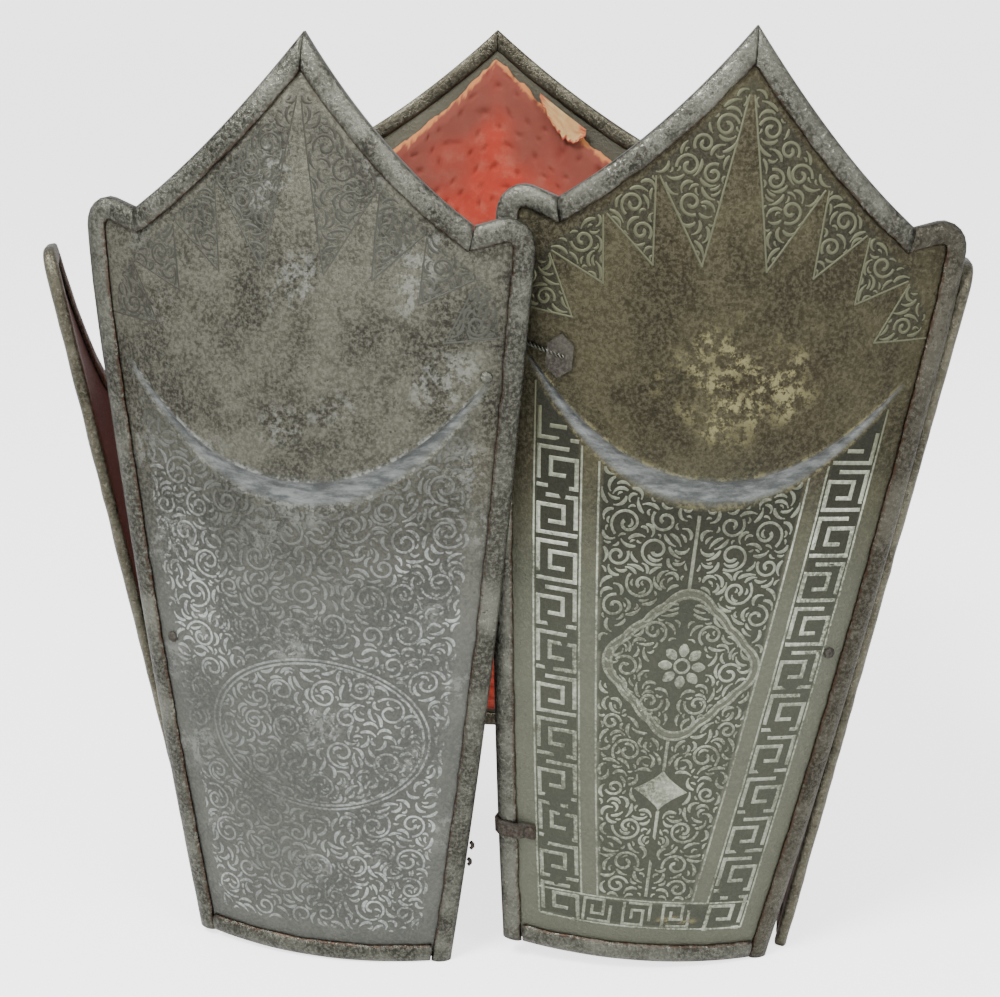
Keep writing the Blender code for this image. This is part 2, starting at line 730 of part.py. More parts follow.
def wrapped_tab(plate, sheet_item):
    """Lower clasp tab: a strap of sheet round the side strip, riveted to the plate."""
    front = SLOT_HALF + STRIP_CROWN + GAP
    back = SLOT_HALF + STRIP_BACK + GAP
    seat, nose, end = SLOT_HALF, STRIP_OUT + GAP, STRIP_REACH + GAP
    touch = ((TAB_LENGTH, seat), (end + front - seat, seat), (end, front), (0, front),
             (-nose, SLOT_HALF + GAP), (-nose, -SLOT_HALF - GAP), (0, -back), (end, -back))
    outside = ((end, -back - TAB_SHEET), (-TAB_SHEET / 2, -back - TAB_SHEET),
               (-nose - TAB_SHEET, -SLOT_HALF - TAB_SHEET), (-nose - TAB_SHEET, SLOT_HALF + TAB_SHEET),
               (-TAB_SHEET / 2, front + TAB_SHEET), (end + TAB_SHEET / 2, front + TAB_SHEET),
               (end + front - seat + TAB_SHEET / 2, seat + TAB_SHEET), (TAB_LENGTH, seat + TAB_SHEET))
    rings = [[plate.point(-(plate.half(t) - s), t, n) for s, n in touch + outside]
             for t in (TAB_HEIGHT - TAB_WIDTH / 2, TAB_HEIGHT + TAB_WIDTH / 2)]
    tab = loft("lower_clasp_tab", rings, plate.placement(), "iron")
    stud = rivet("lower_clasp_rivet", plate, LEFT, TAB_HEIGHT, RIVET_INSET, seat + TAB_SHEET,
                 SHEET / 2, (sheet_item, tab))
    return [tab, stud]


def broken_eye(name, plate, height):
    """Stub of a broken eye on the nose of the right side strip."""
    out = STRIP_OUT + GAP + EYE_WIRE
    turns = [math.radians(degrees) for degrees in EYE_DEGREES]
    route = [(plate.half(height) + out + EYE_REACH / 2 * (math.cos(turn) - 0.5),
              height + EYE_REACH / 2 * math.sin(turn), 0.0) for turn in turns]
    return tube(name, plate, route, EYE_WIRE, "iron")


def clasp_remains(sheets):
    """What is left of the front clasps, as pieces of the right and of the left front."""
    right = [clasp_plate(FRONT_RIGHT), wire_tie(FRONT_RIGHT)]
    right += wrapped_tab(FRONT_RIGHT, sheets["front_right"])
    u = 1 - RIVET_INSET / FRONT_LEFT.half(CLASP_RIVET_HEIGHT)
    left = [rivet("upper_clasp_rivet", FRONT_LEFT, RIGHT, CLASP_RIVET_HEIGHT, RIVET_INSET,
                  SHEET / 2 + LIP_PROUD * lip_fade(u), SHEET / 2, (sheets["front_left"],))]
    left += [broken_eye(f"lower_clasp_eye_{word}", FRONT_LEFT, height)
             for word, height in zip(("upper", "lower"), EYE_HEIGHTS)]
    return right, left


# Lining


def lining_pieces():
    """Quilted pad inside the back plate, and the corner of cloth folded over at its top."""
    outer = -(SHEET / 2 + LINING_GAP)
    pad = sheet("back_lining", BACK, (LINING_INSET, LEAF_END + GAP, LINING_TOP), outer,
                outer - LINING_THICK, "red_cloth")
    face = outer - LINING_THICK - GAP
    rings = []
    for across, drop in FOLD_COLUMNS:
        a = -(FOLD_MIDDLE + across * FOLD_WIDTH)
        top = BACK.top(abs(a)) - LINING_TOP - FOLD_DROP
        low = top - drop * FOLD_DEPTH
        rings.append([BACK.point(a, t, n) for t, n in ((top, face), (low, face),
                                                      (low, face - FOLD_THICK),
                                                      (top, face - FOLD_THICK))])
    fold = loft("back_lining_fold", rings, BACK.placement(), "cream_cloth")
    return [pad, fold]


# Assembly

HINGES = (
    Hinge("rear_left_hinge", BACK, RIGHT, SIDE_LEFT, LEFT),
    Hinge("rear_right_hinge", BACK, LEFT, SIDE_RIGHT, RIGHT),
    Hinge("front_left_hinge", SIDE_LEFT, RIGHT, FRONT_LEFT, LEFT),
    Hinge("front_right_hinge", SIDE_RIGHT, LEFT, FRONT_RIGHT, RIGHT),
)
PLATE_FINISHES = (
    (BACK, "brown_steel"), (SIDE_LEFT, "brown_steel"), (SIDE_RIGHT, "brown_steel"),
    (FRONT_LEFT, "grey_steel"), (FRONT_RIGHT, "olive_steel"),
)


def anchor(name, location, parent):
    """An empty that carries the pieces of one body."""
    item = bpy.data.objects.new(name, None)
    item.location = location
    bpy.context.collection.objects.link(item)
    hang(item, parent)
    return item


def hang(item, parent):
    """Parent an object and keep it where it stands."""
    if parent is None:
        return
    bpy.context.view_layer.update()
    item.parent = parent
    item.matrix_parent_inverse = parent.matrix_world.inverted()


def stand_at_origin(root, items):
    """Move the whole cuirass so that its box stands centred on the origin."""
    bpy.context.view_layer.update()
    corners = [item.matrix_world @ v.co for item in items for v in item.data.vertices]
    low = Vector([min(c[k] for c in corners) for k in range(3)])
    high = Vector([max(c[k] for c in corners) for k in range(3)])
    root.location = (-(low.x + high.x) / 2, -(low.y + high.y) / 2, -low.z)


def build():
    """Make every piece and hang it on its body."""
    clear_scene()
    bodies = {plate.name: [] for plate, _ in PLATE_FINISHES}
    sheets = {}
    for plate, finish_name in PLATE_FINISHES:
        item = sheet(f"{plate.name}_plate", plate, (0.0, 0.0, 0.0), SHEET / 2, -SHEET / 2,
                     finish_name)
        sheets[plate.name] = item
        bodies[plate.name] += [item] + strips(plate, "strip_steel")
    for hinge in HINGES:
        parent, child = build_hinge(hinge, sheets)
        bodies[hinge.parent.name] += parent
        bodies[hinge.child.name] += child
    right, left = clasp_remains(sheets)
    bodies["front_right"] += right
    bodies["front_left"] += left
    bodies["back"] += lining_pieces()
    root = anchor("cuirass", (0, 0, 0), None)
    anchors = {"back": root}
    for hinge in HINGES:
        centre, _ = hinge.axis()
        anchors[hinge.child.name] = anchor(f"{hinge.child.name}_pivot", centre,
                                           anchors[hinge.parent.name])
    for name, items in bodies.items():
        for item in items:
            hang(item, anchors[name])
    guides = [item for item in bpy.data.objects if item.type == "MESH" and item.hide_render]
    for item in guides:
        hang(item, root)
    stand_at_origin(root, [item for items in bodies.values() for item in items])


build()
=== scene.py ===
"""Looks of the five-plate cuirass: etched steel, worn edge strips, quilted lining and its stage.

Metres, +Z up. A plate is described by developed coordinates: a runs across the metal from the
plate's middle line, t runs up from its lower edge, and n is the distance outside its middle
surface. Every new surface is an array of such points, bent and set in place by Plate.place.
"""

import math
from dataclasses import dataclass

import bpy
import numpy as np
from mathutils import Matrix, Vector


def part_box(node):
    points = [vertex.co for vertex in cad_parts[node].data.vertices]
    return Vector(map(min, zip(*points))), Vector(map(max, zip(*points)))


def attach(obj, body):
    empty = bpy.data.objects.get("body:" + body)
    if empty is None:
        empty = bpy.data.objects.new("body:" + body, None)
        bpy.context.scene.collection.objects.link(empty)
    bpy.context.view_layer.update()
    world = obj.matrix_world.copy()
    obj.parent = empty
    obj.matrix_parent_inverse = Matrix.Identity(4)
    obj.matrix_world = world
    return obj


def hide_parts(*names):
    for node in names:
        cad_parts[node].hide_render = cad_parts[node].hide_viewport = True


bl_info = {
    "name": "Five-plate cuirass",
    "version": (1, 0, 0),
    "blender": (4, 5, 0),
    "location": "3D View > Sidebar > Cuirass",
    "description": "Dresses the plates, strips, hinges and lining of a cuirass",
    "category": "Object",
}

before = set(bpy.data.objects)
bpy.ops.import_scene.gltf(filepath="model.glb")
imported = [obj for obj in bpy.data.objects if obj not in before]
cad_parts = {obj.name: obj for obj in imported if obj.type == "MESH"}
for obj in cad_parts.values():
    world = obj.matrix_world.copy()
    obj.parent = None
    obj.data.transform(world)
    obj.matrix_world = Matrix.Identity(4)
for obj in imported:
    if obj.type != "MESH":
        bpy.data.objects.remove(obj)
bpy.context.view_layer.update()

# Sheet, strips and clearance, as in the solids
SHEET = 0.0016
GAP = 0.0004
SLOT_HALF = SHEET / 2 + GAP
STRIP_REACH = 0.0076
STRIP_CROWN = 0.0021
STRIP_BACK = 0.0014
STRIP_OUT = 0.0019
OGEE_HOLLOW = 0.30
TIP_START = 0.300
TIP_TOP = 0.4200

# Raised breast of the front plates
LIP_HEIGHT = 0.2415
LIP_RISE = 0.0500
LIP_BAND = 0.0105
LIP_PROUD = 0.0045
LIP_SPAN = 0.90
LIP_POWER = 2.2
PROUD_FADE = 0.85
BAND_POWER = 1.8
BAND_LEAST = 0.2

# Hammer marks: depth and length of the long and the short waves, and their fade at the edges
LONG_DEPTH, LONG_DENT = 0.00022, 0.07
SHORT_DEPTH, SHORT_DENT = 0.00007, 0.018
DENT_FADE = 0.02
WAVE_COUNT = 9

# Lining
LINING_INSET = 0.0095
LINING_SIDE = 0.0179
LINING_TOP = 0.0114
LINING_GAP = 0.0009
LINING_THICK = 0.0042
LINING_LEAST = 0.0010
LINING_GRID = (190, 300)
FOLD_MIDDLE = 0.0390
FOLD_WIDTH = 0.0270

# Camera, from the two front plates in the photograph
BACK_FOOT = (-0.0039, 0.0876)
CAMERA_BACK = 0.8500
CAMERA_HEIGHT = 0.4310
CAMERA_PITCH = math.radians(16.468)
FOCAL_PIXELS = 1626.4
PHOTO_WIDTH = 1000
SENSOR_MM = 36.0

# Strength of the white room, for the metal and for the camera
ROOM_LIGHT = 0.95
ROOM_WHITE = 3.0
FLOOR_GLOW = 2.1
FLOOR_HALF = 30.0
LIGHT_AIM = (0.0, 0.0, 0.2)
LIGHTS = (("key_light", (-0.7, -0.9, 1.6), 0.6, 46.0),
          ("fill_light", (1.0, -1.1, 0.9), 0.8, 14.0))


# Plates


@dataclass(frozen=True)
class Plate:
    """A bent sheet: its developed sizes, how far it turns, and how it stands."""
    name: str
    half_bottom: float
    half_top: float
    swell: float
    shoulder: float
    notch_half: float
    notch: float
    apex: float
    tip_back: float
    turn_bottom: float
    turn_top: float
    corner: float
    raised: bool
    heading: float
    roll: float
    lean: float

    def half(self, t):
        """Half width at t: a straight taper plus a parabola that bows the side edges out."""
        share = np.minimum(t / self.shoulder, 1.0)
        bow = 4 * self.swell * np.maximum(share, 0.0) * (1 - share)
        return self.half_bottom + (self.half_top - self.half_bottom) * share + bow

    def turn(self, t):
        """Angle between the middle and the side edge, linear in t."""
        return self.turn_bottom + (self.turn_top - self.turn_bottom) * t / self.shoulder

    def local(self, a, t, n):
        """An arc of radius half / turn across the sheet, its top bent back by a square law."""
        radius = self.half(t) / self.turn(t)
        angle = a / radius
        outward = (radius + n) * np.cos(angle) - radius * np.cos(self.turn(t))
        rise = np.maximum(t - TIP_START, 0.0) / (TIP_TOP - TIP_START)
        return np.stack([(radius + n) * np.sin(angle), self.tip_back * rise ** 2 - outward,
                         t + 0 * angle], axis=-1)

    def top(self, across):
        """Top edge at a distance from the middle: corner arc, straight shoulder, then ogee."""
        across = np.abs(across)
        run = np.clip(across - (self.half_top - self.corner), 0.0, self.corner)
        arc = self.shoulder - self.corner + np.sqrt(self.corner ** 2 - run ** 2)
        level = (across - self.notch_half) / (self.half_top - self.corner - self.notch_half)
        flat = self.notch + (self.shoulder - self.notch) * level
        share = 1 - np.minimum(across / self.notch_half, 1.0)
        if self.apex < self.notch:
            middle = self.notch - (self.notch - self.apex) * (1 - (1 - share) ** 3)
        else:
            rise = (self.apex - self.notch) * share
            middle = self.notch + rise * (1 - OGEE_HOLLOW * (1 - share))
        outer = np.where(across > self.half_top - self.corner, arc, flat)
        return np.where(across > self.notch_half, outer, middle)

    def spin(self):
        """Roll in the sheet's own plane, then lean, then heading."""
        return np.array(Matrix.Rotation(self.heading, 3, "Z")
                        @ Matrix.Rotation(self.lean, 3, "X")
                        @ Matrix.Rotation(self.roll, 3, "Y"))

    def place(self, a, t, n):
        """Points in the row frame: the bent sheet, turned, and moved to its solid's box."""
        return self.local(a, t, n) @ self.spin().T + SHIFTS[self.name]

    def proud(self, a, t):
        """Raised breast: a hollow band rises to the crescent lip, then a smooth fade upwards."""
        if not self.raised:
            return 0 * a * t
        u = a / self.half(t)
        fade = lip_fade(u)
        lip = lip_height(u)
        foot = lip - LIP_BAND * np.maximum(fade, BAND_LEAST)
        band = np.clip((t - foot) / (lip - foot), 0.0, 1.0) ** BAND_POWER
        top = self.top(u * self.half_top)
        share = np.clip((t - lip) / np.maximum(top - lip, GAP) / PROUD_FADE, 0.0, 1.0)
        above = (1 - share) ** 2 * (1 + 2 * share)
        return LIP_PROUD * fade * np.where(t <= lip, band, above)

    def face(self, a, t):
        """Distance of the outer face from the middle surface, dents included."""
        return SHEET / 2 + self.proud(a, t) + dents(self, a, t)

    def edge_room(self, a, t):
        """Distance from a point to the nearest edge of the sheet, roughly."""
        across = np.abs(a) / self.half(t) * self.half_top
        return np.minimum(np.minimum(self.half(t) - np.abs(a), t), self.top(across) - t)


def lip_height(u):
    """Crescent lip: lowest in the middle, rising by a power of the share of the half width."""
    return LIP_HEIGHT + LIP_RISE * np.minimum(np.abs(u) / LIP_SPAN, 1.0) ** LIP_POWER


def lip_fade(u, least=0.0):
    """Fullness of the crescent: 1 in the middle, falling by a square law towards its ends."""
    return np.maximum(1 - (u / LIP_SPAN) ** 2, least)


def waves(x, y, seed, scale):
    """Sum of sines in seeded directions, between about -1 and 1, for soft unevenness."""
    draw = np.random.default_rng(seed)
    angle = draw.uniform(0, math.tau, WAVE_COUNT)
    pitch = draw.uniform(0.5, 1.5, WAVE_COUNT) * math.tau / scale
    phase = draw.uniform(0, math.tau, WAVE_COUNT)
    total = 0 * (x + y)
    for k in range(WAVE_COUNT):
        total = total + np.sin(pitch[k] * (x * math.cos(angle[k]) + y * math.sin(angle[k]))
                               + phase[k])
    return total / math.sqrt(WAVE_COUNT)


def dents(plate, a, t):
    """Hammer marks: long and short waves that fade out towards the sheet's edges."""
    room = np.clip(plate.edge_room(a, t) / DENT_FADE, 0.0, 1.0)
    seed = len(plate.name) + int(1000 * plate.half_top)
    return room * (LONG_DEPTH * waves(a, t, seed, LONG_DENT)
                   + SHORT_DEPTH * waves(a, t, seed + 1, SHORT_DENT))


def degrees(heading, roll, lean):
    """The three standing angles in radians."""
    return math.radians(heading), math.radians(roll), math.radians(lean)


FRONT_SIZES = (0.0625, 0.0968, 0.0034, 0.3522, 0.0728, 0.3486, 0.4200, 0.0211, 0.377, 0.313,
               0.0110, True)
SIDE_SIZES = (0.1204, 0.1300, 0.0, 0.3350, 0.1100, 0.3350, 0.2450, 0.0, 0.454, 0.419, 0.0090,
              False)
BACK_SIZES = (0.0816, 0.1350, 0.0034, 0.3522, 0.1050, 0.3490, 0.4200, 0.0, 0.349, 0.314, 0.0110,
              False)
BACK = Plate("back", *BACK_SIZES, *degrees(172.38, 0.0, 0.0))
SIDE_LEFT = Plate("side_left", *SIDE_SIZES, *degrees(-102.27, 2.42, 8.50))
SIDE_RIGHT = Plate("side_right", *SIDE_SIZES, *degrees(103.22, -4.74, 8.64))
FRONT_LEFT = Plate("front_left", *FRONT_SIZES, *degrees(-12.17, 1.58, 3.80))
FRONT_RIGHT = Plate("front_right", *FRONT_SIZES, *degrees(0.27, 5.05, 3.65))
PLATES = (BACK, SIDE_LEFT, SIDE_RIGHT, FRONT_LEFT, FRONT_RIGHT)


def find_shift(plate):
    """Move that puts the middle of the turned sheet's box on its solid's box."""
    u, v = np.meshgrid(np.linspace(-1, 1, 161), np.linspace(0, 1, 81))
    t = v * plate.top(u * plate.half_top)
    a = u * plate.half(t)
    raised = plate.proud(a, t)
    spots = np.concatenate([plate.local(a, t, raised + n).reshape(-1, 3)
                            for n in (-SHEET / 2, SHEET / 2)]) @ plate.spin().T
    low, high = (np.array(corner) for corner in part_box(f"{plate.name}_plate"))
    return (low + high - spots.min(0) - spots.max(0)) / 2


SHIFTS = {plate.name: find_shift(plate) for plate in PLATES}


# Meshes


def make_mesh(name, points, faces, uv=None, masks=None):
    """A smooth-shaded object from arrays, with an optional UV per point and float masks."""
    mesh = bpy.data.meshes.new(name)
    mesh.from_pydata(points.tolist(), [], faces if isinstance(faces, list) else faces.tolist())
    mesh.shade_smooth()
    if uv is not None:
        layer = mesh.uv_layers.new(name="developed")
        index = np.empty(len(mesh.loops), np.int32)
        mesh.loops.foreach_get("vertex_index", index)
        layer.data.foreach_set("uv", uv[index].astype(np.float32).ravel())
    for label, values in (masks or {}).items():
        attribute = mesh.attributes.new(label, "FLOAT", "POINT")
        attribute.data.foreach_set("value", values.astype(np.float32).ravel())
    item = bpy.data.objects.new(name, mesh)
    bpy.context.scene.collection.objects.link(item)
    return item


def grid_faces(rows, columns, start=0):
    """Quads between neighbouring points of a rows by columns grid."""
    index = start + np.arange(rows * columns).reshape(rows, columns)
    return np.stack([index[:-1, :-1], index[:-1, 1:], index[1:, 1:], index[1:, :-1]],
                    axis=-1).reshape(-1, 4)


def rim_faces(rows, columns):
    """Quads that join the border of one grid to the border of a second one after it."""
    index = np.arange(rows * columns).reshape(rows, columns)
    ring = np.concatenate([index[0, :-1], index[:-1, -1], index[-1, :0:-1], index[:0:-1, 0]])
    after = np.roll(ring, -1)
    count = rows * columns
    return np.stack([ring, ring + count, after + count, after], axis=-1)


def tube_faces(rows, columns, start=0):
    """Faces round a tube made of closed rings, and a cap at each of its ends."""
    index = start + np.arange(rows * columns).reshape(rows, columns)
    after = np.roll(index, -1, axis=1)
    sides = np.stack([index[:-1], after[:-1], after[1:], index[1:]], -1).reshape(-1, 4)
    return sides.tolist() + [index[0, ::-1].tolist(), index[-1].tolist()]


def shell(name, outer, inner, uv, masks):
    """A closed sheet from an outer and an inner grid of points that share their border."""
    rows, columns = outer.shape[:2]
    faces = np.concatenate([grid_faces(rows, columns),
                            grid_faces(rows, columns, rows * columns)[:, ::-1],
                            rim_faces(rows, columns)])
    points = np.concatenate([outer.reshape(-1, 3), inner.reshape(-1, 3)])
    return make_mesh(name, points, faces, np.concatenate([uv, uv]), masks)


def finish_piece(item, body, replaced, material):
    """Give a new piece its material, turn its faces outwards, attach it to its body and hide the
    node that it stands for.
    """
    item.data.materials.append(bpy.data.materials[material])
    face_outwards(item)
    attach(item, body)
    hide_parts(replaced)


def face_outwards(item):
    """Turn the whole mesh if its signed volume is negative."""
    mesh = item.data
    mesh.calc_loop_triangles()
    corner = np.empty(len(mesh.loop_triangles) * 3, np.int32)
    mesh.loop_triangles.foreach_get("vertices", corner)
    spot = np.empty(len(mesh.vertices) * 3, np.float32)
    mesh.vertices.foreach_get("co", spot)
    one, two, three = spot.reshape(-1, 3)[corner].reshape(-1, 3, 3).transpose(1, 0, 2)
    middle = spot.reshape(-1, 3).mean(0)
    if np.einsum("ij,ij->i", one - middle, np.cross(two - middle, three - middle)).sum() < 0:
        mesh.flip_normals()


# Node groups and materials


# Noise of each kind of wear: scale, detail, roughness, and the levels that it rises between
WEAR = {
    "Patches": (38.0, 6.0, 0.62, 0.40, 0.64),
    "Speckle": (620.0, 6.0, 0.70, 0.40, 0.66),
    "Pits": (700.0, 3.0, 0.60, 0.60, 0.72),
    "Stains": (17.0, 5.0, 0.60, 0.50, 0.68),
    "Clouds": (7.0, 3.0, 0.50, 0.38, 0.62),
}
THREAD_SCALE = 1600.0
STREAK_STRETCH = (0.5, 0.5, 1.6)


def group(name, labels):
    """A new node group from a vector to some values: its tree, the vector and its output node."""
    tree = bpy.data.node_groups.new(name, "ShaderNodeTree")
    tree.interface.new_socket("Vector", in_out="INPUT", socket_type="NodeSocketVector")
    for label in labels:
        tree.interface.new_socket(label, in_out="OUTPUT", socket_type="NodeSocketFloat")
    start = tree.nodes.new("NodeGroupInput")
    return tree, start.outputs["Vector"], tree.nodes.new("NodeGroupOutput")


def noise(tree, vector, scale, detail, roughness):
    """Value of a noise texture."""
    node = tree.nodes.new("ShaderNodeTexNoise")
    for label, value in (("Scale", scale), ("Detail", detail), ("Roughness", roughness)):
        node.inputs[label].default_value = value
    tree.links.new(vector, node.inputs["Vector"])
    return node.outputs["Fac"]


def ramp(tree, value, low, high):
    """Smooth step of a value between two levels."""
    node = tree.nodes.new("ShaderNodeMapRange")
    node.interpolation_type = "SMOOTHSTEP"
    node.inputs["From Min"].default_value = low
    node.inputs["From Max"].default_value = high
    tree.links.new(value, node.inputs["Value"])
    return node.outputs["Result"]


def level(tree, value, low, high):
    """Straight map of a value from 0..1 to low..high."""
    node = tree.nodes.new("ShaderNodeMapRange")
    node.inputs["To Min"].default_value = low
    node.inputs["To Max"].default_value = high
    tree.links.new(value, node.inputs["Value"])
    return node.outputs["Result"]


def maths(tree, kind, one, two):
    """A Math node of two values, each a socket or a number."""
    node = tree.nodes.new("ShaderNodeMath")
    node.operation = kind
    for socket, value in zip(node.inputs, (one, two)):
        if isinstance(value, (int, float)):
            socket.default_value = value
        else:
            tree.links.new(value, socket)
    return node.outputs["Value"]


def times(tree, one, two):
    """Product of two values."""
    return maths(tree, "MULTIPLY", one, two)


def blend(tree, factor, one, two):
    """Mix of two colours, each a socket or a triple."""
    node = tree.nodes.new("ShaderNodeMix")
    node.data_type = "RGBA"
    tree.links.new(factor, node.inputs["Factor"])
    for socket, value in zip((node.inputs[6], node.inputs[7]), (one, two)):
        if isinstance(value, bpy.types.NodeSocket):
            tree.links.new(value, socket)
        else:
            socket.default_value = (*value, 1.0)
    return node.outputs[2]


def mask(tree, label):
    """A float mask stored on the mesh."""
    node = tree.nodes.new("ShaderNodeAttribute")
    node.attribute_name = label
    return node.outputs["Fac"]


def build_wear_group():
    """Patches, speckle, pits, stains and clouds of old steel, each 0 to 1."""
    tree, vector, end = group("old_steel_wear", WEAR)
    for label, (scale, detail, roughness, low, high) in WEAR.items():
        value = ramp(tree, noise(tree, vector, scale, detail, roughness), low, high)
        tree.links.new(value, end.inputs[label])


def build_cloth_group():
    """Weave height, as crossed waves, and uneven dye of quilted cotton."""
    tree, vector, end = group("cotton_weave", ("Weave", "Dye"))
    threads = []
    for direction in ("X", "Y"):
        wave = tree.nodes.new("ShaderNodeTexWave")
        wave.bands_direction = direction
        wave.inputs["Scale"].default_value = THREAD_SCALE
        wave.inputs["Distortion"].default_value = 1.5
        tree.links.new(vector, wave.inputs["Vector"])
        threads.append(wave.outputs["Fac"])
    tree.links.new(maths(tree, "ADD", *threads), end.inputs["Weave"])
    tree.links.new(noise(tree, vector, 90.0, 6.0, 0.7), end.inputs["Dye"])


def new_material(name, metallic, roughness):
    """Node tree and Principled shader of a new material."""
    material = bpy.data.materials.new(name)
    material.use_nodes = True
    shader = material.node_tree.nodes["Principled BSDF"]
    shader.inputs["Metallic"].default_value = metallic
    shader.inputs["Roughness"].default_value = roughness
    return material.node_tree, shader


def object_vector(tree):
    """Object coordinates."""
    return tree.nodes.new("ShaderNodeTexCoord").outputs["Object"]


def wear_masks(tree):
    """The wear group placed in a material, fed with Object coordinates."""
    node = tree.nodes.new("ShaderNodeGroup")
    node.node_tree = bpy.data.node_groups["old_steel_wear"]
    tree.links.new(object_vector(tree), node.inputs["Vector"])
    return node.outputs


def surface(tree, shader, colour, rough, height, distance, strength):
    """Colour, roughness if it varies, and a Bump node of some height, joined to the shader."""
    node = tree.nodes.new("ShaderNodeBump")
    node.inputs["Distance"].default_value = distance
    node.inputs["Strength"].default_value = strength
    tree.links.new(height, node.inputs["Height"])
    for label, value in (("Base Color", colour), ("Roughness", rough),
                         ("Normal", node.outputs["Normal"])):
        if value is not None:
            tree.links.new(value, shader.inputs[label])


def height_share(tree, low, high):
    """0 at the lower height and 1 at the upper one, from Object coordinates."""
    split = tree.nodes.new("ShaderNodeSeparateXYZ")
    tree.links.new(object_vector(tree), split.inputs["Vector"])
    return ramp(tree, split.outputs["Z"], low, high)


def brushed_sheen_streaks(tree):
    """Noise drawn out along the horizontal, for brushed bright lines, partly a painted sheen."""
    node = tree.nodes.new("ShaderNodeVectorMath")
    node.operation = "MULTIPLY"
    node.inputs[1].default_value = STREAK_STRETCH
    tree.links.new(object_vector(tree), node.inputs[0])
    return ramp(tree, noise(tree, node.outputs["Vector"], 150.0, 6.0, 0.7), 0.38, 0.66)


def steel(name, dark, light, stain, speck, rough=(0.34, 0.56), metallic=0.85):
    """Old steel: dark and light patches, speckle, pits and stains over one metallic shader."""
    tree, shader = new_material(name, metallic, rough[1])
    wear = wear_masks(tree)
    colour = blend(tree, wear["Patches"], dark, light)
    colour = blend(tree, times(tree, wear["Stains"], 0.6), colour, stain)
    bright = tuple(min(1.9 * channel + 0.02, 1.0) for channel in light)
    colour = blend(tree, times(tree, wear["Speckle"], speck), colour, bright)
    pit = tuple(0.35 * channel for channel in dark)
    colour = blend(tree, times(tree, wear["Pits"], 0.7), colour, pit)
    worn = times(tree, wear["Speckle"], 0.6)
    return tree, shader, wear, colour, level(tree, worn, rough[1], rough[0])


def plate_steel(name, dark, light, stain, inside, ground_dark, rub_and_highlight_colour, low_light):
    """Steel of an etched plate: masks darken the ground, brighten rubs, paint lip highlights and
    band sheen, brown the inside.
    """
    tree, shader, wear, colour, rough = steel(name, dark, light, stain, 0.50)
    low = level(tree, height_share(tree, 0.16, 0.27), 0.60, 0.0)
    colour = blend(tree, low, colour, low_light)
    ground = times(tree, mask(tree, "ground"),
                   level(tree, height_share(tree, 0.14, 0.27), 0.55, 0.85))
    colour = blend(tree, ground, colour, ground_dark)
    # Bright wear, and the painted highlight along the crescent lip, broken up by noise
    haze = ramp(tree, noise(tree, object_vector(tree), 210.0, 6.0, 0.78), 0.49, 0.57)
    colour = blend(tree, times(tree, mask(tree, "rub"), haze), colour, rub_and_highlight_colour)
    # The crescent's band: polished steel, lighter and glossier, with a painted sheen in bright
    # lines
    smooth = mask(tree, "smooth")
    silver_sheen = blend(tree, brushed_sheen_streaks(tree), (0.085, 0.093, 0.094), (0.245, 0.262, 0.257))
    colour = blend(tree, times(tree, smooth, 0.85), colour, silver_sheen)
    brown = blend(tree, wear["Clouds"], inside, tuple(1.5 * c for c in inside))
    colour = blend(tree, mask(tree, "inside"), colour, brown)
    rough = maths(tree, "SUBTRACT", rough, times(tree, smooth, 0.10))
    height = maths(tree, "SUBTRACT", wear["Speckle"], times(tree, wear["Pits"], 1.2))
    surface(tree, shader, colour, rough, height, 0.00016, 0.8)


def relief_steel(name, light, high_light, worn, amount):
    """Raised ornament, light below the crescent and duller above, worn through in patches."""
    tree, shader, wear, colour, rough = steel(name, worn, light, worn, 0.45)
    colour = blend(tree, height_share(tree, 0.22, 0.28), colour, high_light)
    colour = blend(tree, times(tree, wear["Clouds"], amount), colour, worn)
    colour = blend(tree, times(tree, mask(tree, "dull"), 0.60), colour, worn)
    surface(tree, shader, colour, rough, wear["Speckle"], 0.00012, 0.7)


def strip_steel(name, dark, light, rust):
    """Edge strips: bright worn crowns, dark mottling and rust where the creases are."""
    tree, shader, wear, colour, rough = steel(name, dark, light, dark, 0.40, (0.19, 0.36), 0.95)
    crease = times(tree, mask(tree, "crease"), ramp(tree, wear["Speckle"], 0.9, 0.1))
    colour = blend(tree, crease, colour, rust)
    surface(tree, shader, colour, rough, wear["Speckle"], 0.00016, 0.8)


def rough_iron(name, dark, light, rust):
    """Small fittings: dark iron with rust blooms."""
    tree, shader, wear, colour, rough = steel(name, dark, light, rust, 0.45, (0.45, 0.7), 0.7)
    surface(tree, shader, colour, rough, wear["Speckle"], 0.00015, 0.8)


def cloth(name, deep, faded, thread, fringe):
    """Quilted cotton: faded at its top, painted shade in its stitched dimples and some darker
    stains, pale where the edge is frayed.
    """
    tree, shader = new_material(name, 0.0, 0.95)
    node = tree.nodes.new("ShaderNodeGroup")
    node.node_tree = bpy.data.node_groups["cotton_weave"]
    uv = tree.nodes.new("ShaderNodeUVMap")
    uv.uv_map = "developed"
    tree.links.new(uv.outputs["UV"], node.inputs["Vector"])
    colour = blend(tree, ramp(tree, node.outputs["Dye"], 0.42, 0.72), deep, faded)
    colour = blend(tree, mask(tree, "fade"), colour, thread)
    # Painted shade in the stitched dimples and rows, with random darker stains
    dark = tuple(0.35 * channel for channel in deep)
    colour = blend(tree, times(tree, mask(tree, "stitch"), 0.45), colour, dark)
    colour = blend(tree, mask(tree, "fray"), colour, fringe)
    height = maths(tree, "ADD", times(tree, node.outputs["Weave"], 0.5),
                   times(tree, node.outputs["Dye"], 2.0))
    surface(tree, shader, colour, None, height, 0.0003, 0.7)


def colours():
    """The colours that a user may change."""
    return bpy.context.scene.cuirass_colours


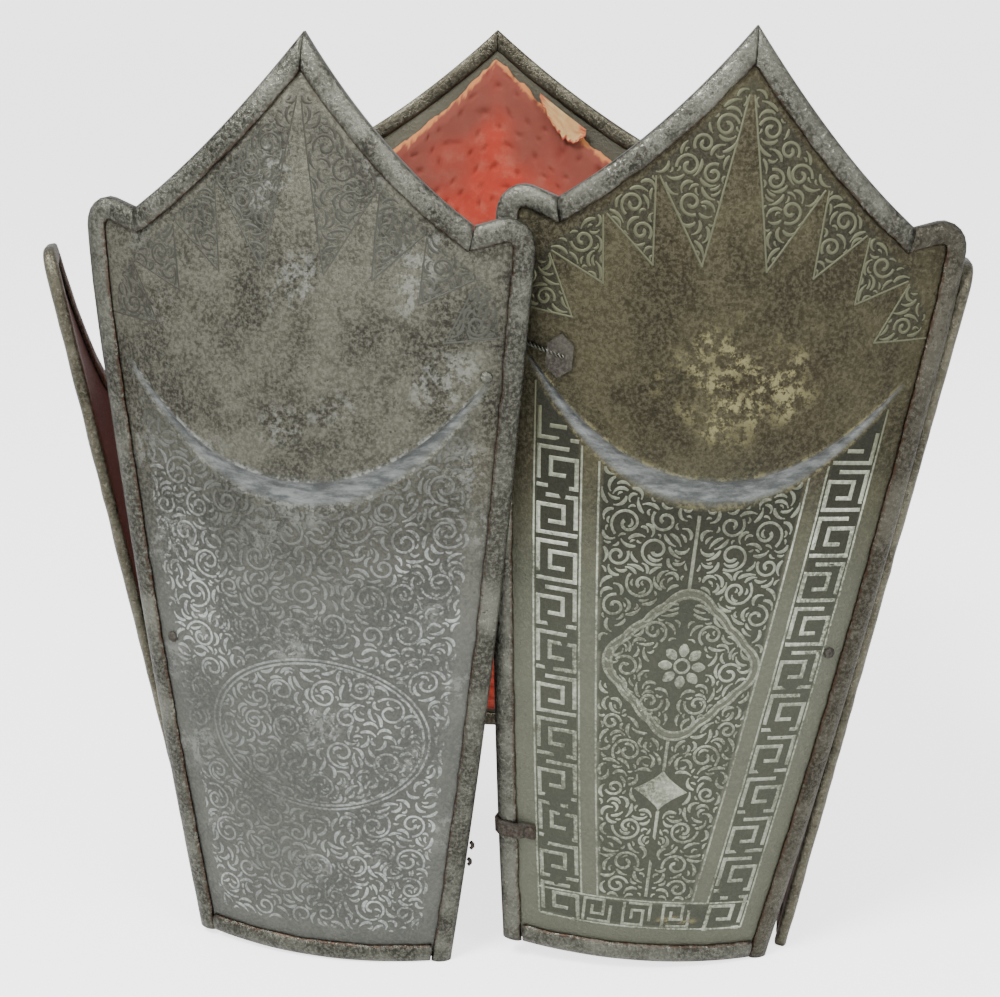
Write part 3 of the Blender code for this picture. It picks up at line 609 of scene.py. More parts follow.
def build_materials():
    """Every material once, from the colour properties."""
    build_wear_group()
    build_cloth_group()
    tone = colours()
    inside, rust = tuple(tone.inside), tuple(tone.rust)
    plate_steel("grey_plate", (0.030, 0.029, 0.022), tuple(tone.grey_steel),
                (0.044, 0.038, 0.025), inside, (0.038, 0.040, 0.037), (0.34, 0.35, 0.32),
                (0.142, 0.149, 0.138))
    plate_steel("olive_plate", (0.026, 0.023, 0.013), tuple(tone.olive_steel),
                (0.030, 0.023, 0.013), inside, (0.022, 0.023, 0.018), (0.22, 0.20, 0.10),
                (0.165, 0.178, 0.138))
    for name, inner in (("brown_plate", inside), ("back_plate", (0.095, 0.092, 0.068))):
        plate_steel(name, (0.036, 0.033, 0.022), (0.085, 0.080, 0.056), (0.034, 0.028, 0.018),
                    inner, (0.022, 0.020, 0.016), (0.16, 0.15, 0.13), (0.110, 0.112, 0.092))
    relief_steel("olive_relief", tuple(tone.relief), (0.105, 0.108, 0.066),
                 (0.105, 0.110, 0.078), 0.40)
    relief_steel("grey_relief", (0.33, 0.35, 0.335), (0.046, 0.044, 0.035),
                 (0.090, 0.092, 0.080), 0.75)
    strip_steel("strip_finish", (0.036, 0.035, 0.028), tuple(tone.strip), rust)
    strip_steel("brown_strip_finish", (0.028, 0.025, 0.018), (0.072, 0.068, 0.052), rust)
    strip_steel("dark_strip_finish", (0.046, 0.042, 0.029), (0.115, 0.108, 0.078), rust)
    rough_iron("iron_finish", (0.025, 0.021, 0.017), (0.055, 0.050, 0.040), rust)
    cloth("red_quilt", tuple(tone.red_cloth), (0.50, 0.108, 0.066), (0.20, 0.060, 0.040),
          (0.60, 0.22, 0.070))
    cloth("cream_backing", tuple(tone.cream_cloth), (0.62, 0.44, 0.19), (0.50, 0.15, 0.060),
          (0.34, 0.050, 0.025))


# Ornament as strokes: developed paths (strokes, points, 2) with widths (strokes, points)


CELL = 0.00025
MARK_REACH = 9
MIRROR = np.array([-1.0, 1.0])
RING_POINTS = 121
SPIRAL_POINTS = 26
SPIRAL_TURNS = 1.25
LEAF_POINTS = 8
LEAF_LENGTHS = (0.0078, 0.0060, 0.0046, 0.0034, 0.0025)
LEAF_BROAD = 0.00150
LEAF_GAP = 0.00030
SCROLL_RADII = (0.0078, 0.0070, 0.0062, 0.0054, 0.0046)
LEFT_RADII = (0.0085, 0.0070, 0.0056)
FLANK = 0.00014
FLANK_SINK = 0.00004
COLUMN_WIDTH = 0.0025
MIDDLE_GAP = 0.0005
CRESCENT_GAP = 0.001

# Borders of the right front, measured in from its edges
BAND_OUTER = 0.0165
BAND_WIDTH = 0.0205
PLAIN_WIDTH = 0.0075
BAND_LOW = 0.0160
BAND_HIGH = 0.0305
BAND_TOP = 0.0035
STRIP_MARGIN = 0.0105
FIELD_ROOM = 0.0012

# Rays: tips of the rays and feet of the wedges between them, from the middle outwards
RAY_TIPS = ((0.0, 0.4025), (0.0350, 0.3660), (0.0545, 0.3480), (0.0755, 0.3300),
            (0.0900, 0.3060))
WEDGE_FEET = ((0.0130, 0.3300), (0.0325, 0.3285), (0.0515, 0.3190), (0.0625, 0.3035))
WEDGE_OVER = 0.0005

MEDALLION = (0.0015, 0.1530, 0.0345, 0.0365)
MEDALLION_BAND = 0.0034
STEM_ROOM = 0.0022
DULL_LOW = 0.125
DULL_SPAN = 0.090
LOZENGE = (0.0, 0.0900, 0.0120, 0.0105)
OVAL = (0.0040, 0.1180, 0.0510, 0.0380)


class Room:
    """A raster of a developed region that remembers where metal is already raised."""

    def __init__(self, low, high, inside):
        self.low = np.array(low)
        size = ((np.array(high) - self.low) / CELL).astype(int) + 1
        a, t = np.meshgrid(np.arange(size[0]), np.arange(size[1]), indexing="ij")
        self.free = inside(self.low[0] + a * CELL, self.low[1] + t * CELL)
        reach = np.arange(-MARK_REACH, MARK_REACH + 1)
        self.ring = np.stack(np.meshgrid(reach, reach, indexing="ij"), -1).reshape(-1, 2)
        self.far = np.hypot(*self.ring.T) * CELL

    def cells(self, spots):
        """Raster cells of developed points."""
        index = np.rint((spots - self.low) / CELL).astype(int)
        return np.clip(index, 0, np.array(self.free.shape) - 1)

    def fits(self, spots):
        """Whether all the points of each path lie on free cells."""
        index = self.cells(spots)
        return self.free[index[..., 0], index[..., 1]].all(-1)

    def take(self, spots, widths, gap):
        """Mark discs along a path as used."""
        index = self.cells(spots)[:, None] + self.ring
        near = self.far <= widths[:, None] / 2 + gap
        index = np.clip(index[near], 0, np.array(self.free.shape) - 1)
        self.free[index[:, 0], index[:, 1]] = False

    def take_sets(self, sets, gap):
        """Mark every stroke of some sets."""
        for paths, widths in sets:
            for path, width in zip(paths, widths):
                self.take(path, width, gap)


def drop_circles(room, low, high, radii, seed, tries):
    """Scroll circles of falling radius dropped at seeded places where the room is free."""
    draw = np.random.default_rng(seed)
    turn = np.linspace(0, math.tau, 13)[:-1]
    rings = np.stack([np.cos(turn), np.sin(turn)], -1)
    found = []
    for radius in radii:
        spots = draw.uniform(low, high, (tries, 2))
        for spot in spots[room.fits(spots[:, None] + rings * radius)]:
            apart = [math.dist(spot, other[:2]) - other[2] for other in found]
            if not found or min(apart) > radius:
                found.append((*spot, radius))
    return np.array(found).reshape(-1, 3)


def spirals(circles, width, seed):
    """One spiral stem in each circle: its radius falls straight as it turns."""
    draw = np.random.default_rng(seed)
    count = len(circles)
    share = np.linspace(0, 1, SPIRAL_POINTS)[None]
    turning = draw.choice((-1.0, 1.0), count)[:, None] * math.tau * SPIRAL_TURNS * share
    angle = draw.uniform(0, math.tau, count)[:, None] + turning
    reach = circles[:, 2:3] * (0.92 - 0.74 * share)
    path = circles[:, None, :2] + reach[..., None] * np.stack([np.cos(angle), np.sin(angle)], -1)
    return [(path, width * (1.0 + 0.5 * share ** 4) + 0 * reach)]


def leaf_paths(spots, heading, bend, length):
    """Middle lines of curved leaves: each step turns a little further from its heading."""
    along = np.linspace(-0.5, 0.5, LEAF_POINTS)
    angle = heading[:, None] + bend[:, None] * along
    step = np.stack([np.cos(angle), np.sin(angle)], -1) * length / (LEAF_POINTS - 1)
    path = np.cumsum(step, axis=1)
    return spots[:, None] + path - path.mean(1, keepdims=True)


def fill_leaves(room, low, high, broad, seed, tries):
    """Comma-shaped leaves, long ones first, dropped along a seeded flow where they fit."""
    draw = np.random.default_rng(seed)
    shape = np.sin(math.pi * np.clip(np.linspace(0, 1, LEAF_POINTS), 0.06, 0.96) ** 0.7)
    sets = []
    for length in LEAF_LENGTHS:
        spots = draw.uniform(low, high, (tries, 2))
        heading = math.pi * 1.4 * waves(*spots.T, seed, 0.05) + draw.normal(0, 0.6, tries)
        bend = draw.choice((-1.0, 1.0), tries) * draw.uniform(0.9, 2.6, tries)
        paths = leaf_paths(spots, heading, bend, length)
        size = broad * (length / LEAF_LENGTHS[0]) ** 0.5
        widths = np.maximum(size * shape, 0.3 * size)
        kept = []
        for path in paths[room.fits(paths)]:
            if room.fits(path):
                room.take(path, widths + 0.75 * size, LEAF_GAP)
                kept.append(path)
        if kept:
            sets.append((np.array(kept), np.tile(widths, (len(kept), 1))))
    return sets


def foliage(inside, low, high, radii, width, broad, seed, tries):
    """Spirals and then leaves in all the room that a region has."""
    room = Room(low, high, inside)
    stems = spirals(drop_circles(room, low, high, radii, seed, 300), width, seed + 1)
    room.take_sets(stems, LEAF_GAP + 0.3 * broad)
    return stems + fill_leaves(room, low, high, broad, seed + 2, tries)


def straight(pairs, width):
    """Straight strokes from pairs of ends, square at their corners."""
    ends = np.array(pairs, float).reshape(-1, 2, 2)
    along = ends[:, 1] - ends[:, 0]
    along /= np.linalg.norm(along, axis=1, keepdims=True)
    ends[:, 0] -= along * width / 2
    ends[:, 1] += along * width / 2
    return ends, np.full(ends.shape[:2], width)


def curve(points, width):
    """One stroke along a path."""
    points = np.asarray(points, float)
    return points[None], np.full((1, len(points)), width)


def ring(shape, form, scale, width):
    """One closed stroke: a polar shape function scaled to half sizes about a middle."""
    a, t, wide, tall = form
    angle = np.linspace(0, math.tau, RING_POINTS)
    reach = shape(angle) * scale
    return curve(np.stack([a + wide * reach * np.sin(angle), t + tall * reach * np.cos(angle)],
                          -1), width)


def round_shape(angle):
    """A plain oval."""
    return 1 + 0 * angle


def pointed_shape(angle):
    """Pointed medallion: full at its four ends, drawn in between them, with small lobes."""
    return 0.72 + 0.21 * np.abs(np.cos(2 * angle)) ** 1.3 + 0.07 * np.abs(np.cos(4 * angle))


def ring_share(shape, form, a, t):
    """Distance of points from the form's middle, as a share of its outline."""
    middle_a, middle_t, wide, tall = form
    across, up = (a - middle_a) / wide, (t - middle_t) / tall
    return np.hypot(across, up) / shape(np.arctan2(across, up))


def raise_strokes(name, plate, sets, height):
    """Ribbons along strokes on the outer face: a flat top of the stroke's width, sloped sides."""
    points, faces, dull, start = [], [], [], 0
    for path, width in sets:
        strokes, count = path.shape[:2]
        if not strokes:
            continue
        along = np.gradient(path, axis=1)
        along /= np.maximum(np.linalg.norm(along, axis=-1, keepdims=True), 1e-9)
        across = np.stack([-along[..., 1], along[..., 0]], -1)
        inner = np.linspace(-0.5, 0.5, max(2, int(width.max() / COLUMN_WIDTH)))
        columns = len(inner) + 2
        wide = np.concatenate([-width[..., None] / 2 - FLANK, width[..., None] * inner,
                               width[..., None] / 2 + FLANK], -1)
        spot = path[:, :, None, :] + across[:, :, None, :] * wide[..., None]
        a, t = spot[..., 0], spot[..., 1]
        lift = np.full(columns, height)
        lift[[0, -1]] = -FLANK_SINK
        points.append(plate.place(a, t, plate.face(a, t) + lift).reshape(-1, 3))
        dull.append(dull_share(plate, a, t).ravel())
        index = start + np.arange(strokes * count * columns).reshape(strokes, count, columns)
        faces.append(np.stack([index[:, :-1, :-1], index[:, :-1, 1:], index[:, 1:, 1:],
                               index[:, 1:, :-1]], -1).reshape(-1, 4))
        start += strokes * count * columns
    return make_mesh(name, np.concatenate(points), np.concatenate(faces)[:, ::-1],
                     masks={"dull": np.concatenate(dull)})


def dull_share(plate, a, t):
    """The middle field's ornament is duller than its borders, more so near the crescent."""
    side = plate.half(t) - BAND_OUTER - BAND_WIDTH - PLAIN_WIDTH
    below = soft(under_crescent(plate, a, t) + BAND_TOP, 0.001)
    return soft(side - np.abs(a), 0.001) * soft(t - DULL_LOW, DULL_SPAN) * below


def keep(sets, inside):
    """The strokes that lie wholly in a region."""
    kept = []
    for path, width in sets:
        good = inside(path[..., 0], path[..., 1]).all(1)
        kept.append((path[good], width[good]))
    return kept


def mirrored(sets):
    """Strokes and their mirror images about the middle line."""
    return sets + [(path * MIRROR, width) for path, width in sets]


def under_crescent(plate, a, t):
    """Room below the hollow band under the crescent lip."""
    u = a / plate.half(t)
    return lip_height(u) - LIP_BAND * lip_fade(u, BAND_LEAST) - BAND_TOP - t


def in_field(plate, a, t):
    """The middle field of the right front, inside its borders."""
    side = plate.half(t) - BAND_OUTER - BAND_WIDTH - PLAIN_WIDTH - FIELD_ROOM
    return (np.abs(a) < side) & (t > BAND_HIGH + FIELD_ROOM) & (under_crescent(plate, a, t) > 0)


def side_of(one, two, a, t):
    """Positive where points lie to the left of the line from one to two."""
    return (two[0] - one[0]) * (t - one[1]) - (two[1] - one[1]) * (a - one[0])


def in_wedges(plate, a, t):
    """Inside the dark wedges between the rays, on either side of the middle."""
    across = np.abs(a)
    found = np.zeros(np.broadcast(a, t).shape, bool)
    for foot, inner, outer in zip(WEDGE_FEET, RAY_TIPS[:-1], RAY_TIPS[1:]):
        cone = (side_of(foot, inner, across, t) < 0) & (side_of(foot, outer, across, t) > 0)
        cap = inner[1] + (outer[1] - inner[1]) * (across - inner[0]) / (outer[0] - inner[0])
        found |= cone & (t < cap + WEDGE_OVER)
    return found & (plate.edge_room(a, t) > STRIP_MARGIN)


def wedge_foliage(plate, radii, width, broad, seed, tries):
    """Foliage of the wedges on one side of the middle."""
    return foliage(lambda a, t: in_wedges(plate, a, t) & (a > MIDDLE_GAP), (0, 0.30),
                   (0.09, 0.41), radii, width, broad, seed, tries)


def ray_outlines(width):
    """Thin lines from each wedge's foot to the ray tips on both sides of it."""
    pairs = []
    for foot, inner, outer in zip(WEDGE_FEET, RAY_TIPS[:-1], RAY_TIPS[1:]):
        pairs += [(foot, inner), (foot, outer)]
    path, widths = straight(pairs, width)
    share = np.linspace(0, 0.92, 14)[None, :, None]
    return [(path[:, :1] + share * (path[:, 1:] - path[:, :1]),
             np.repeat(widths[:, :1], share.size, axis=1))]


# One repeat of the angular fret, in tenths of the band: across 0..8, along 0..8.2
FRET_KEYS = (
    ((0, 0), (8, 0)), ((8, 0), (8, 6.2)), ((8, 6.2), (2.6, 6.2)), ((2.6, 6.2), (2.6, 2.6)),
    ((2.6, 2.6), (5.4, 2.6)), ((0, 1.8), (0, 8.4)), ((0, 8.4), (6, 8.4)),
)
FRET_REPEAT = 10.4
FRET_STROKE = 0.80


def fret_side(plate, side):
    """The angular fret along a side band, every second repeat turned over."""
    unit = BAND_WIDTH / 10
    pairs = []
    for k in range(int(LIP_HEIGHT / unit / FRET_REPEAT) + 2):
        for key in FRET_KEYS:
            ends = []
            for x, y in key:
                t = BAND_LOW + (k * FRET_REPEAT + y) * unit
                across = (8 - x if k % 2 else x) + 1
                ends.append((side * (plate.half(t) - BAND_OUTER - across * unit), t))
            pairs.append(ends)
    strokes = [straight(pairs, FRET_STROKE * unit)]
    return keep(strokes, lambda a, t: under_crescent(plate, a, t) > CRESCENT_GAP)


def fret_bottom(plate):
    """The same fret along the band at the bottom."""
    unit = (BAND_HIGH - BAND_LOW) / 10
    half = plate.half(BAND_LOW) - BAND_OUTER - BAND_WIDTH
    count = int(2 * half / FRET_REPEAT / unit)
    step = 2 * half / count
    pairs = [[(-half + k * step + y * unit, BAND_LOW + ((8 - x if k % 2 else x) + 1) * unit)
              for x, y in key] for k in range(count) for key in FRET_KEYS]
    return [straight(pairs, FRET_STROKE * unit)]


def band_lines(plate, width):
    """Thin lines along both edges of the side bands and of the plain band inside them."""
    sets = []
    for side in (-1, 1):
        for inset in (BAND_OUTER, BAND_OUTER + BAND_WIDTH,
                      BAND_OUTER + BAND_WIDTH + PLAIN_WIDTH):
            t = np.linspace(BAND_LOW if inset == BAND_OUTER else BAND_HIGH, 0.29, 90)
            a = side * (plate.half(t) - inset)
            good = under_crescent(plate, a, t) > 0
            sets.append(curve(np.stack([a, t], -1)[good], width))
    for t in (BAND_LOW, BAND_HIGH):
        half = plate.half(t) - BAND_OUTER
        sets.append(curve(np.stack([np.linspace(-half, half, 50), np.full(50, t)], -1), width))
    return sets


def lozenge(form):
    """A solid lozenge with hollow sides, as one short broad stroke."""
    a, t, wide, tall = form
    share = np.linspace(-1, 1, 15)
    path = np.stack([a + 0 * share, t + tall * share], -1)[None]
    return path, (2 * wide * (1 - np.abs(share)) ** 1.4)[None]


def rosette(form, count, width):
    """Petals round a middle, each a broad short stroke, and a ring inside them."""
    a, t, wide, tall = form
    share = np.linspace(0.42, 1.0, LEAF_POINTS)
    angle = (np.arange(count) * math.tau / count)[:, None]
    path = np.stack([a + wide * share * np.sin(angle), t + tall * share * np.cos(angle)], -1)
    petal = np.sin(math.pi * np.linspace(0.08, 0.94, LEAF_POINTS)) * 1.7 * wide / count * 2
    return [(path, np.tile(petal, (count, 1))), ring(round_shape, form, 0.30, width)]


def right_relief_sets(plate, width):
    """All ornament of the right front."""
    borders = fret_side(plate, -1) + fret_side(plate, 1) + fret_bottom(plate)
    borders += band_lines(plate, 0.7 * width)
    middle, _, wide, tall = MEDALLION
    inner = 1 - MEDALLION_BAND / wide
    star = (middle, MEDALLION[1], 0.30 * wide, 0.30 * tall)
    marks = [ring(pointed_shape, MEDALLION, 1.0, width),
             ring(pointed_shape, MEDALLION, inner, width), lozenge(LOZENGE)]
    marks += rosette(star, 8, width)
    for low, high in ((BAND_HIGH + 0.003, LOZENGE[1] - LOZENGE[3]),
                      (LOZENGE[1] + LOZENGE[3], MEDALLION[1] - tall),
                      (MEDALLION[1] + tall, LIP_HEIGHT - LIP_BAND - 2 * BAND_TOP)):
        marks.append(curve([(0.0, low), (0.0, high)], 1.3 * width))

    def half_field(a, t):
        clear = ring_share(round_shape, LOZENGE, a, t) > 1.0
        outside = ring_share(pointed_shape, MEDALLION, a, t) > 1.03
        return in_field(plate, a, t) & (a > STEM_ROOM) & outside & clear

    def in_medallion(a, t):
        clear = ring_share(round_shape, star, a, t) > 1.1
        return (a > middle + 0.0004) & (ring_share(pointed_shape, MEDALLION, a, t) < inner) & clear

    outer = foliage(half_field, (0, 0.03), (0.07, 0.25), SCROLL_RADII, width, LEAF_BROAD, 11,
                    5200)
    medal = foliage(in_medallion, (0, 0.11), (0.04, 0.195), SCROLL_RADII[2:], width,
                    0.9 * LEAF_BROAD, 21, 2600)
    wedges = wedge_foliage(plate, SCROLL_RADII[3:], width, 0.9 * LEAF_BROAD, 31, 4200)
    return borders + marks + mirrored(outer + medal + wedges + ray_outlines(0.6 * width))


def left_relief_sets(plate, width):
    """All ornament of the left front: dense worn leaves, an oval medallion and faint rays."""
    def lower(a, t):
        room = (plate.edge_room(a, t) > STRIP_MARGIN + 0.004) & (t > 0.014)
        share = ring_share(round_shape, OVAL, a, t)
        return room & (under_crescent(plate, a, t) > 0) & (np.abs(share - 1.0) > 0.045)

    sets = foliage(lower, (-0.085, 0.01), (0.085, 0.26), LEFT_RADII, width, LEAF_BROAD, 61, 9000)
    sets += [ring(round_shape, OVAL, scale, width) for scale in (1.0, 0.95)]
    wedges = wedge_foliage(plate, LEFT_RADII[2:], width, 0.8 * LEAF_BROAD, 71, 3000)
    return sets + mirrored(wedges) + mirrored(ray_outlines(0.6 * width))


# Masks and sheets of the plates


FINE_GRID = (118, 250)
PLAIN_GRID = (71, 90)
ROWS_BELOW = 0.52
ROWS_IN_BAND = 0.10
BAND_FULL = 1.25
BAND_ROUND = 0.6
# Widths of the painted highlights along the crescent lip and along the band's foot
LIP_SHINE = 0.0013
FOOT_SHINE = 0.0012
RUB_SPOT = (0.0085, 0.2830)
RUB_HALF = (0.032, 0.024)
SCRATCH_SPOT = (0.0155, 0.0205)
SCRATCH_HALF = (0.011, 0.0022)
SCRATCH_SLANT = 0.8


def soft(value, wide):
    """0 below zero, 1 above the width, smooth between."""
    share = np.clip(value / wide, 0.0, 1.0)
    return share ** 2 * (3 - 2 * share)


def right_ground(plate, a, t):
    """Etched ground of the right front: bands, field and wedges are dark."""
    inset = plate.half(t) - np.abs(a)
    below = soft(under_crescent(plate, a, t), 0.002)
    band = soft(inset - BAND_OUTER, 0.001) * soft(BAND_OUTER + BAND_WIDTH - inset, 0.001)
    band *= soft(t - BAND_LOW, 0.001)
    foot = soft(t - BAND_LOW, 0.001) * soft(BAND_HIGH - t, 0.001)
    foot *= soft(inset - BAND_OUTER, 0.001)
    share = ring_share(pointed_shape, MEDALLION, a, t)
    ribbon = (share < 1.0) & (share > 1 - MEDALLION_BAND / MEDALLION[2])
    field = in_field(plate, a, t) & ~ribbon
    return np.maximum(np.maximum(band, foot), field) * below + 0.6 * in_wedges(plate, a, t)


def left_ground(plate, a, t):
    """The left front is worn, so its ground is only a little darker below the crescent."""
    room = soft(plate.edge_room(a, t) - STRIP_MARGIN - 0.004, 0.006)
    return 0.5 * room * soft(under_crescent(plate, a, t), 0.004) + 0.3 * in_wedges(plate, a, t)


def plain_ground(plate, a, t):
    """No etched ground."""
    return 0 * a * t


def crescent_edges(plate, a, t):
    """Heights of the lip and of the band's foot, and how full the crescent is there."""
    u = a / plate.half(t)
    fade = lip_fade(u)
    lip = lip_height(u)
    return lip, lip - BAND_FULL * LIP_BAND * np.maximum(fade, BAND_LEAST) ** BAND_ROUND, fade


def crescent_glow(plate, a, t):
    """Smooth bluish band under the lip, polish with a painted sheen, brightest at the lip itself.
    """
    if not plate.raised:
        return 0 * a
    lip, foot, fade = crescent_edges(plate, a, t)
    return soft(lip + 0.0004 - t, 0.0010) * soft(t - foot, 0.0022) * soft(fade, 0.30)


def rubs_and_lip_highlight(plate, a, t):
    """Bright places worn on the right front's breast and scratch; painted highlights along the lip
    and the band's foot on both.
    """
    if not plate.raised:
        return 0 * a
    lip, foot, fade = crescent_edges(plate, a, t)
    # Painted highlight: a bright line along the crescent lip and a weaker one along the band's foot
    lip = np.exp(-((t - lip) / LIP_SHINE) ** 2) + 0.80 * np.exp(-((t - foot) / FOOT_SHINE) ** 2)
    lip *= soft(fade, 0.3)
    if plate is FRONT_LEFT:
        return np.maximum(lip, 0.35 * soft(waves(a, t, 5, 0.05) - 0.3, 1.0))
    spot = np.hypot((a - RUB_SPOT[0]) / RUB_HALF[0], (t - RUB_SPOT[1]) / RUB_HALF[1])
    spot += 0.5 * np.exp(-(spot / 0.35) ** 2)
    spot += 0.25 * waves(a, t, 6, 0.02)
    across, up = a - SCRATCH_SPOT[0], t - SCRATCH_SPOT[1]
    scratch = np.hypot((across - SCRATCH_SLANT * up) / SCRATCH_HALF[0], up / SCRATCH_HALF[1])
    return np.maximum(np.maximum(soft(1.15 - spot, 0.8), soft(1.1 - scratch, 0.5)), lip)


def plate_grid(plate, columns, rows):
    """Developed grid of a whole sheet; on a raised plate its rows follow the crescent."""
    u = np.sort(np.concatenate([np.linspace(-1, 1, columns),
                                np.array([-1, 1]) * plate.notch_half / plate.half_top]))
    top = plate.top(u * plate.half_top)
    if plate.raised:
        below, band = int(rows * ROWS_BELOW), int(rows * ROWS_IN_BAND)
        lip = lip_height(u)
        foot = lip - LIP_BAND * lip_fade(u, BAND_LEAST)
        t = np.concatenate([np.linspace(0, 1, below)[:, None] * foot,
                            foot + np.linspace(0, 1, band)[1:, None] * (lip - foot),
                            lip + np.linspace(0, 1, rows - below - band)[1:, None] * (top - lip)])
    else:
        t = np.linspace(0, 1, rows)[:, None] * top
    return u[None, :] * plate.half(t), t


def build_plate(plate, counts, material, ground):
    """The sheet of a plate, with its masks on the outer face and brown on the inner one."""
    a, t = plate_grid(plate, *counts)
    raised = plate.proud(a, t) + dents(plate, a, t)
    uv = np.stack([a, t], -1).reshape(-1, 2)
    blank = np.zeros(a.size)

    def both(values):
        return np.concatenate([values.ravel(), blank])

    # Masks: etched ground, bright wear with painted lip highlights, the polished band with its
    # painted sheen, inner face
    masks = {"ground": both(ground(plate, a, t)), "rub": both(rubs_and_lip_highlight(plate, a, t)),
             "smooth": both(crescent_glow(plate, a, t)),
             "inside": np.concatenate([blank, blank + 1])}
    item = shell(f"{plate.name}_sheet", plate.place(a, t, raised + SHEET / 2),
                 plate.place(a, t, raised - SHEET / 2), uv, masks)
    finish_piece(item, plate.name, f"{plate.name}_plate", material)


# Edge strips


STRIP_STEP = 0.0030
CORNER_STEPS = 9
MITRE_FADE = 0.0120
BROWN_STRIPS = ("front_right_side_right", "side_left_side_left")


def strip_ring():
    """Section of a strip as (s, n): a flattened outer arch, a round nose, an inner arch, a slot."""
    angle = np.linspace(0, math.pi, 13)
    middle, reach = (STRIP_REACH - STRIP_OUT) / 2, (STRIP_REACH + STRIP_OUT) / 2
    outer = np.stack([middle + reach * np.cos(angle),
                      SLOT_HALF + 1.15 * STRIP_CROWN * np.sin(angle) ** 0.95], -1)
    low = (STRIP_REACH * 0.9 - STRIP_OUT) / 2
    wide = (STRIP_REACH * 0.9 + STRIP_OUT) / 2
    inner = np.stack([low - wide * np.cos(angle),
                      -SLOT_HALF - STRIP_BACK * np.sin(angle) ** 0.7], -1)[::2]
    slot = np.array([(-GAP, -SLOT_HALF), (-GAP, SLOT_HALF)])
    return np.concatenate([outer, inner, slot]), len(outer)


def run_along(path):
    """Length of a polyline from its first point to each of its points."""
    return np.concatenate([[0], np.cumsum(np.linalg.norm(np.diff(path, axis=0), axis=1))])


def resample(points):
    """Points of a polyline at even steps, its ends kept."""
    length = run_along(points)
    count = max(int(length[-1] / STRIP_STEP), 4) + 1
    where = np.linspace(0, length[-1], count)
    return np.stack([np.interp(where, length, points[:, k]) for k in (0, 1)], -1)


def edge_paths(plate):
    """The right half of the plate's edge: side with its corner and shoulder, then the top."""
    t = np.linspace(-STRIP_OUT, plate.shoulder - plate.corner, 60)
    side = np.stack([plate.half(t), t], -1)
    edge = plate.half_top - plate.corner
    turn = np.linspace(math.pi / 2, 0, CORNER_STEPS)[1:]
    across = np.concatenate([edge + plate.corner * np.sin(turn), [plate.notch_half]])
    height = plate.top(across)
    height[-1] = plate.notch
    corner = np.stack([across / plate.half_top * plate.half(height), height], -1)
    across = np.linspace(plate.notch_half, 0, 40)
    height = plate.top(across)
    height[0] = plate.notch
    upper = np.stack([across / plate.half_top * plate.half(height), height], -1)
    return resample(np.concatenate([side, corner])), resample(upper)


def unit(vector):
    """A vector of length one."""
    return vector / np.linalg.norm(vector)


def mitre(before, after):
    """Mitre direction between two unit directions of a path that has its sheet on the left."""
    normal = np.array([-before[1] - after[1], before[0] + after[0]])
    return normal / (1 + before @ after)


def inward(path, first, last):
    """Directions into the sheet: across the path, slanted to the given mitres near its ends."""
    along = np.gradient(path, axis=0)
    along /= np.linalg.norm(along, axis=1, keepdims=True)
    across = np.stack([-along[:, 1], along[:, 0]], -1)
    length = run_along(path)
    slant = np.zeros(len(path))
    for goal, index, run in ((first, 0, length), (last, -1, length[-1] - length)):
        slant += goal @ along[index] * np.clip(1 - run / MITRE_FADE, 0.0, 1.0)
    return across + along * slant[:, None]


def build_strip(plate, label, path, directions, seed):
    """A strip swept along a developed path, its crown uneven and its ends drawn in a little."""
    ring, outer_count = strip_ring()
    path = path.copy()
    path[0] += unit(path[1] - path[0]) * GAP / 2
    path[-1] += unit(path[-2] - path[-1]) * GAP / 2
    length = run_along(path)
    crown = 1 - 0.10 * np.abs(waves(length, 0 * length, seed, 0.03))
    reach = 1 - 0.05 * np.abs(waves(length, 0 * length, seed + 50, 0.02))
    s = ring[None, :, 0] * np.where(ring[None, :, 0] > 0, reach[:, None], 1)
    swell = np.abs(ring[None, :, 1]) > SLOT_HALF * 1.01
    over = np.sign(ring[None, :, 1]) * (SLOT_HALF + (np.abs(ring[None, :, 1]) - SLOT_HALF)
                                        * crown[:, None])
    n = np.where(swell, over, ring[None, :, 1])
    spot = path[:, None, :] + directions[:, None, :] * s[..., None]
    points = plate.place(spot[..., 0], spot[..., 1], n)
    rows, columns = n.shape
    edge = np.minimum(np.arange(columns), np.maximum(outer_count - 1 - np.arange(columns), 0))
    crease = np.where(np.arange(columns) < 3, 1.0 - 0.3 * edge, 0.0)
    crease = np.tile(np.clip(crease, 0, 1), (rows, 1))
    item = make_mesh(f"{plate.name}_{label}_rim", points.reshape(-1, 3),
                     tube_faces(rows, columns), masks={"crease": crease})
    finish = "strip_finish" if plate.raised else "dark_strip_finish"
    if f"{plate.name}_{label}" in BROWN_STRIPS:
        finish = "brown_strip_finish"
    finish_piece(item, plate.name, f"{plate.name}_strip_{label}", finish)


def flip(path, directions):
    """The same strip on the other side of the middle line."""
    return path[::-1] * MIRROR, directions[::-1] * MIRROR


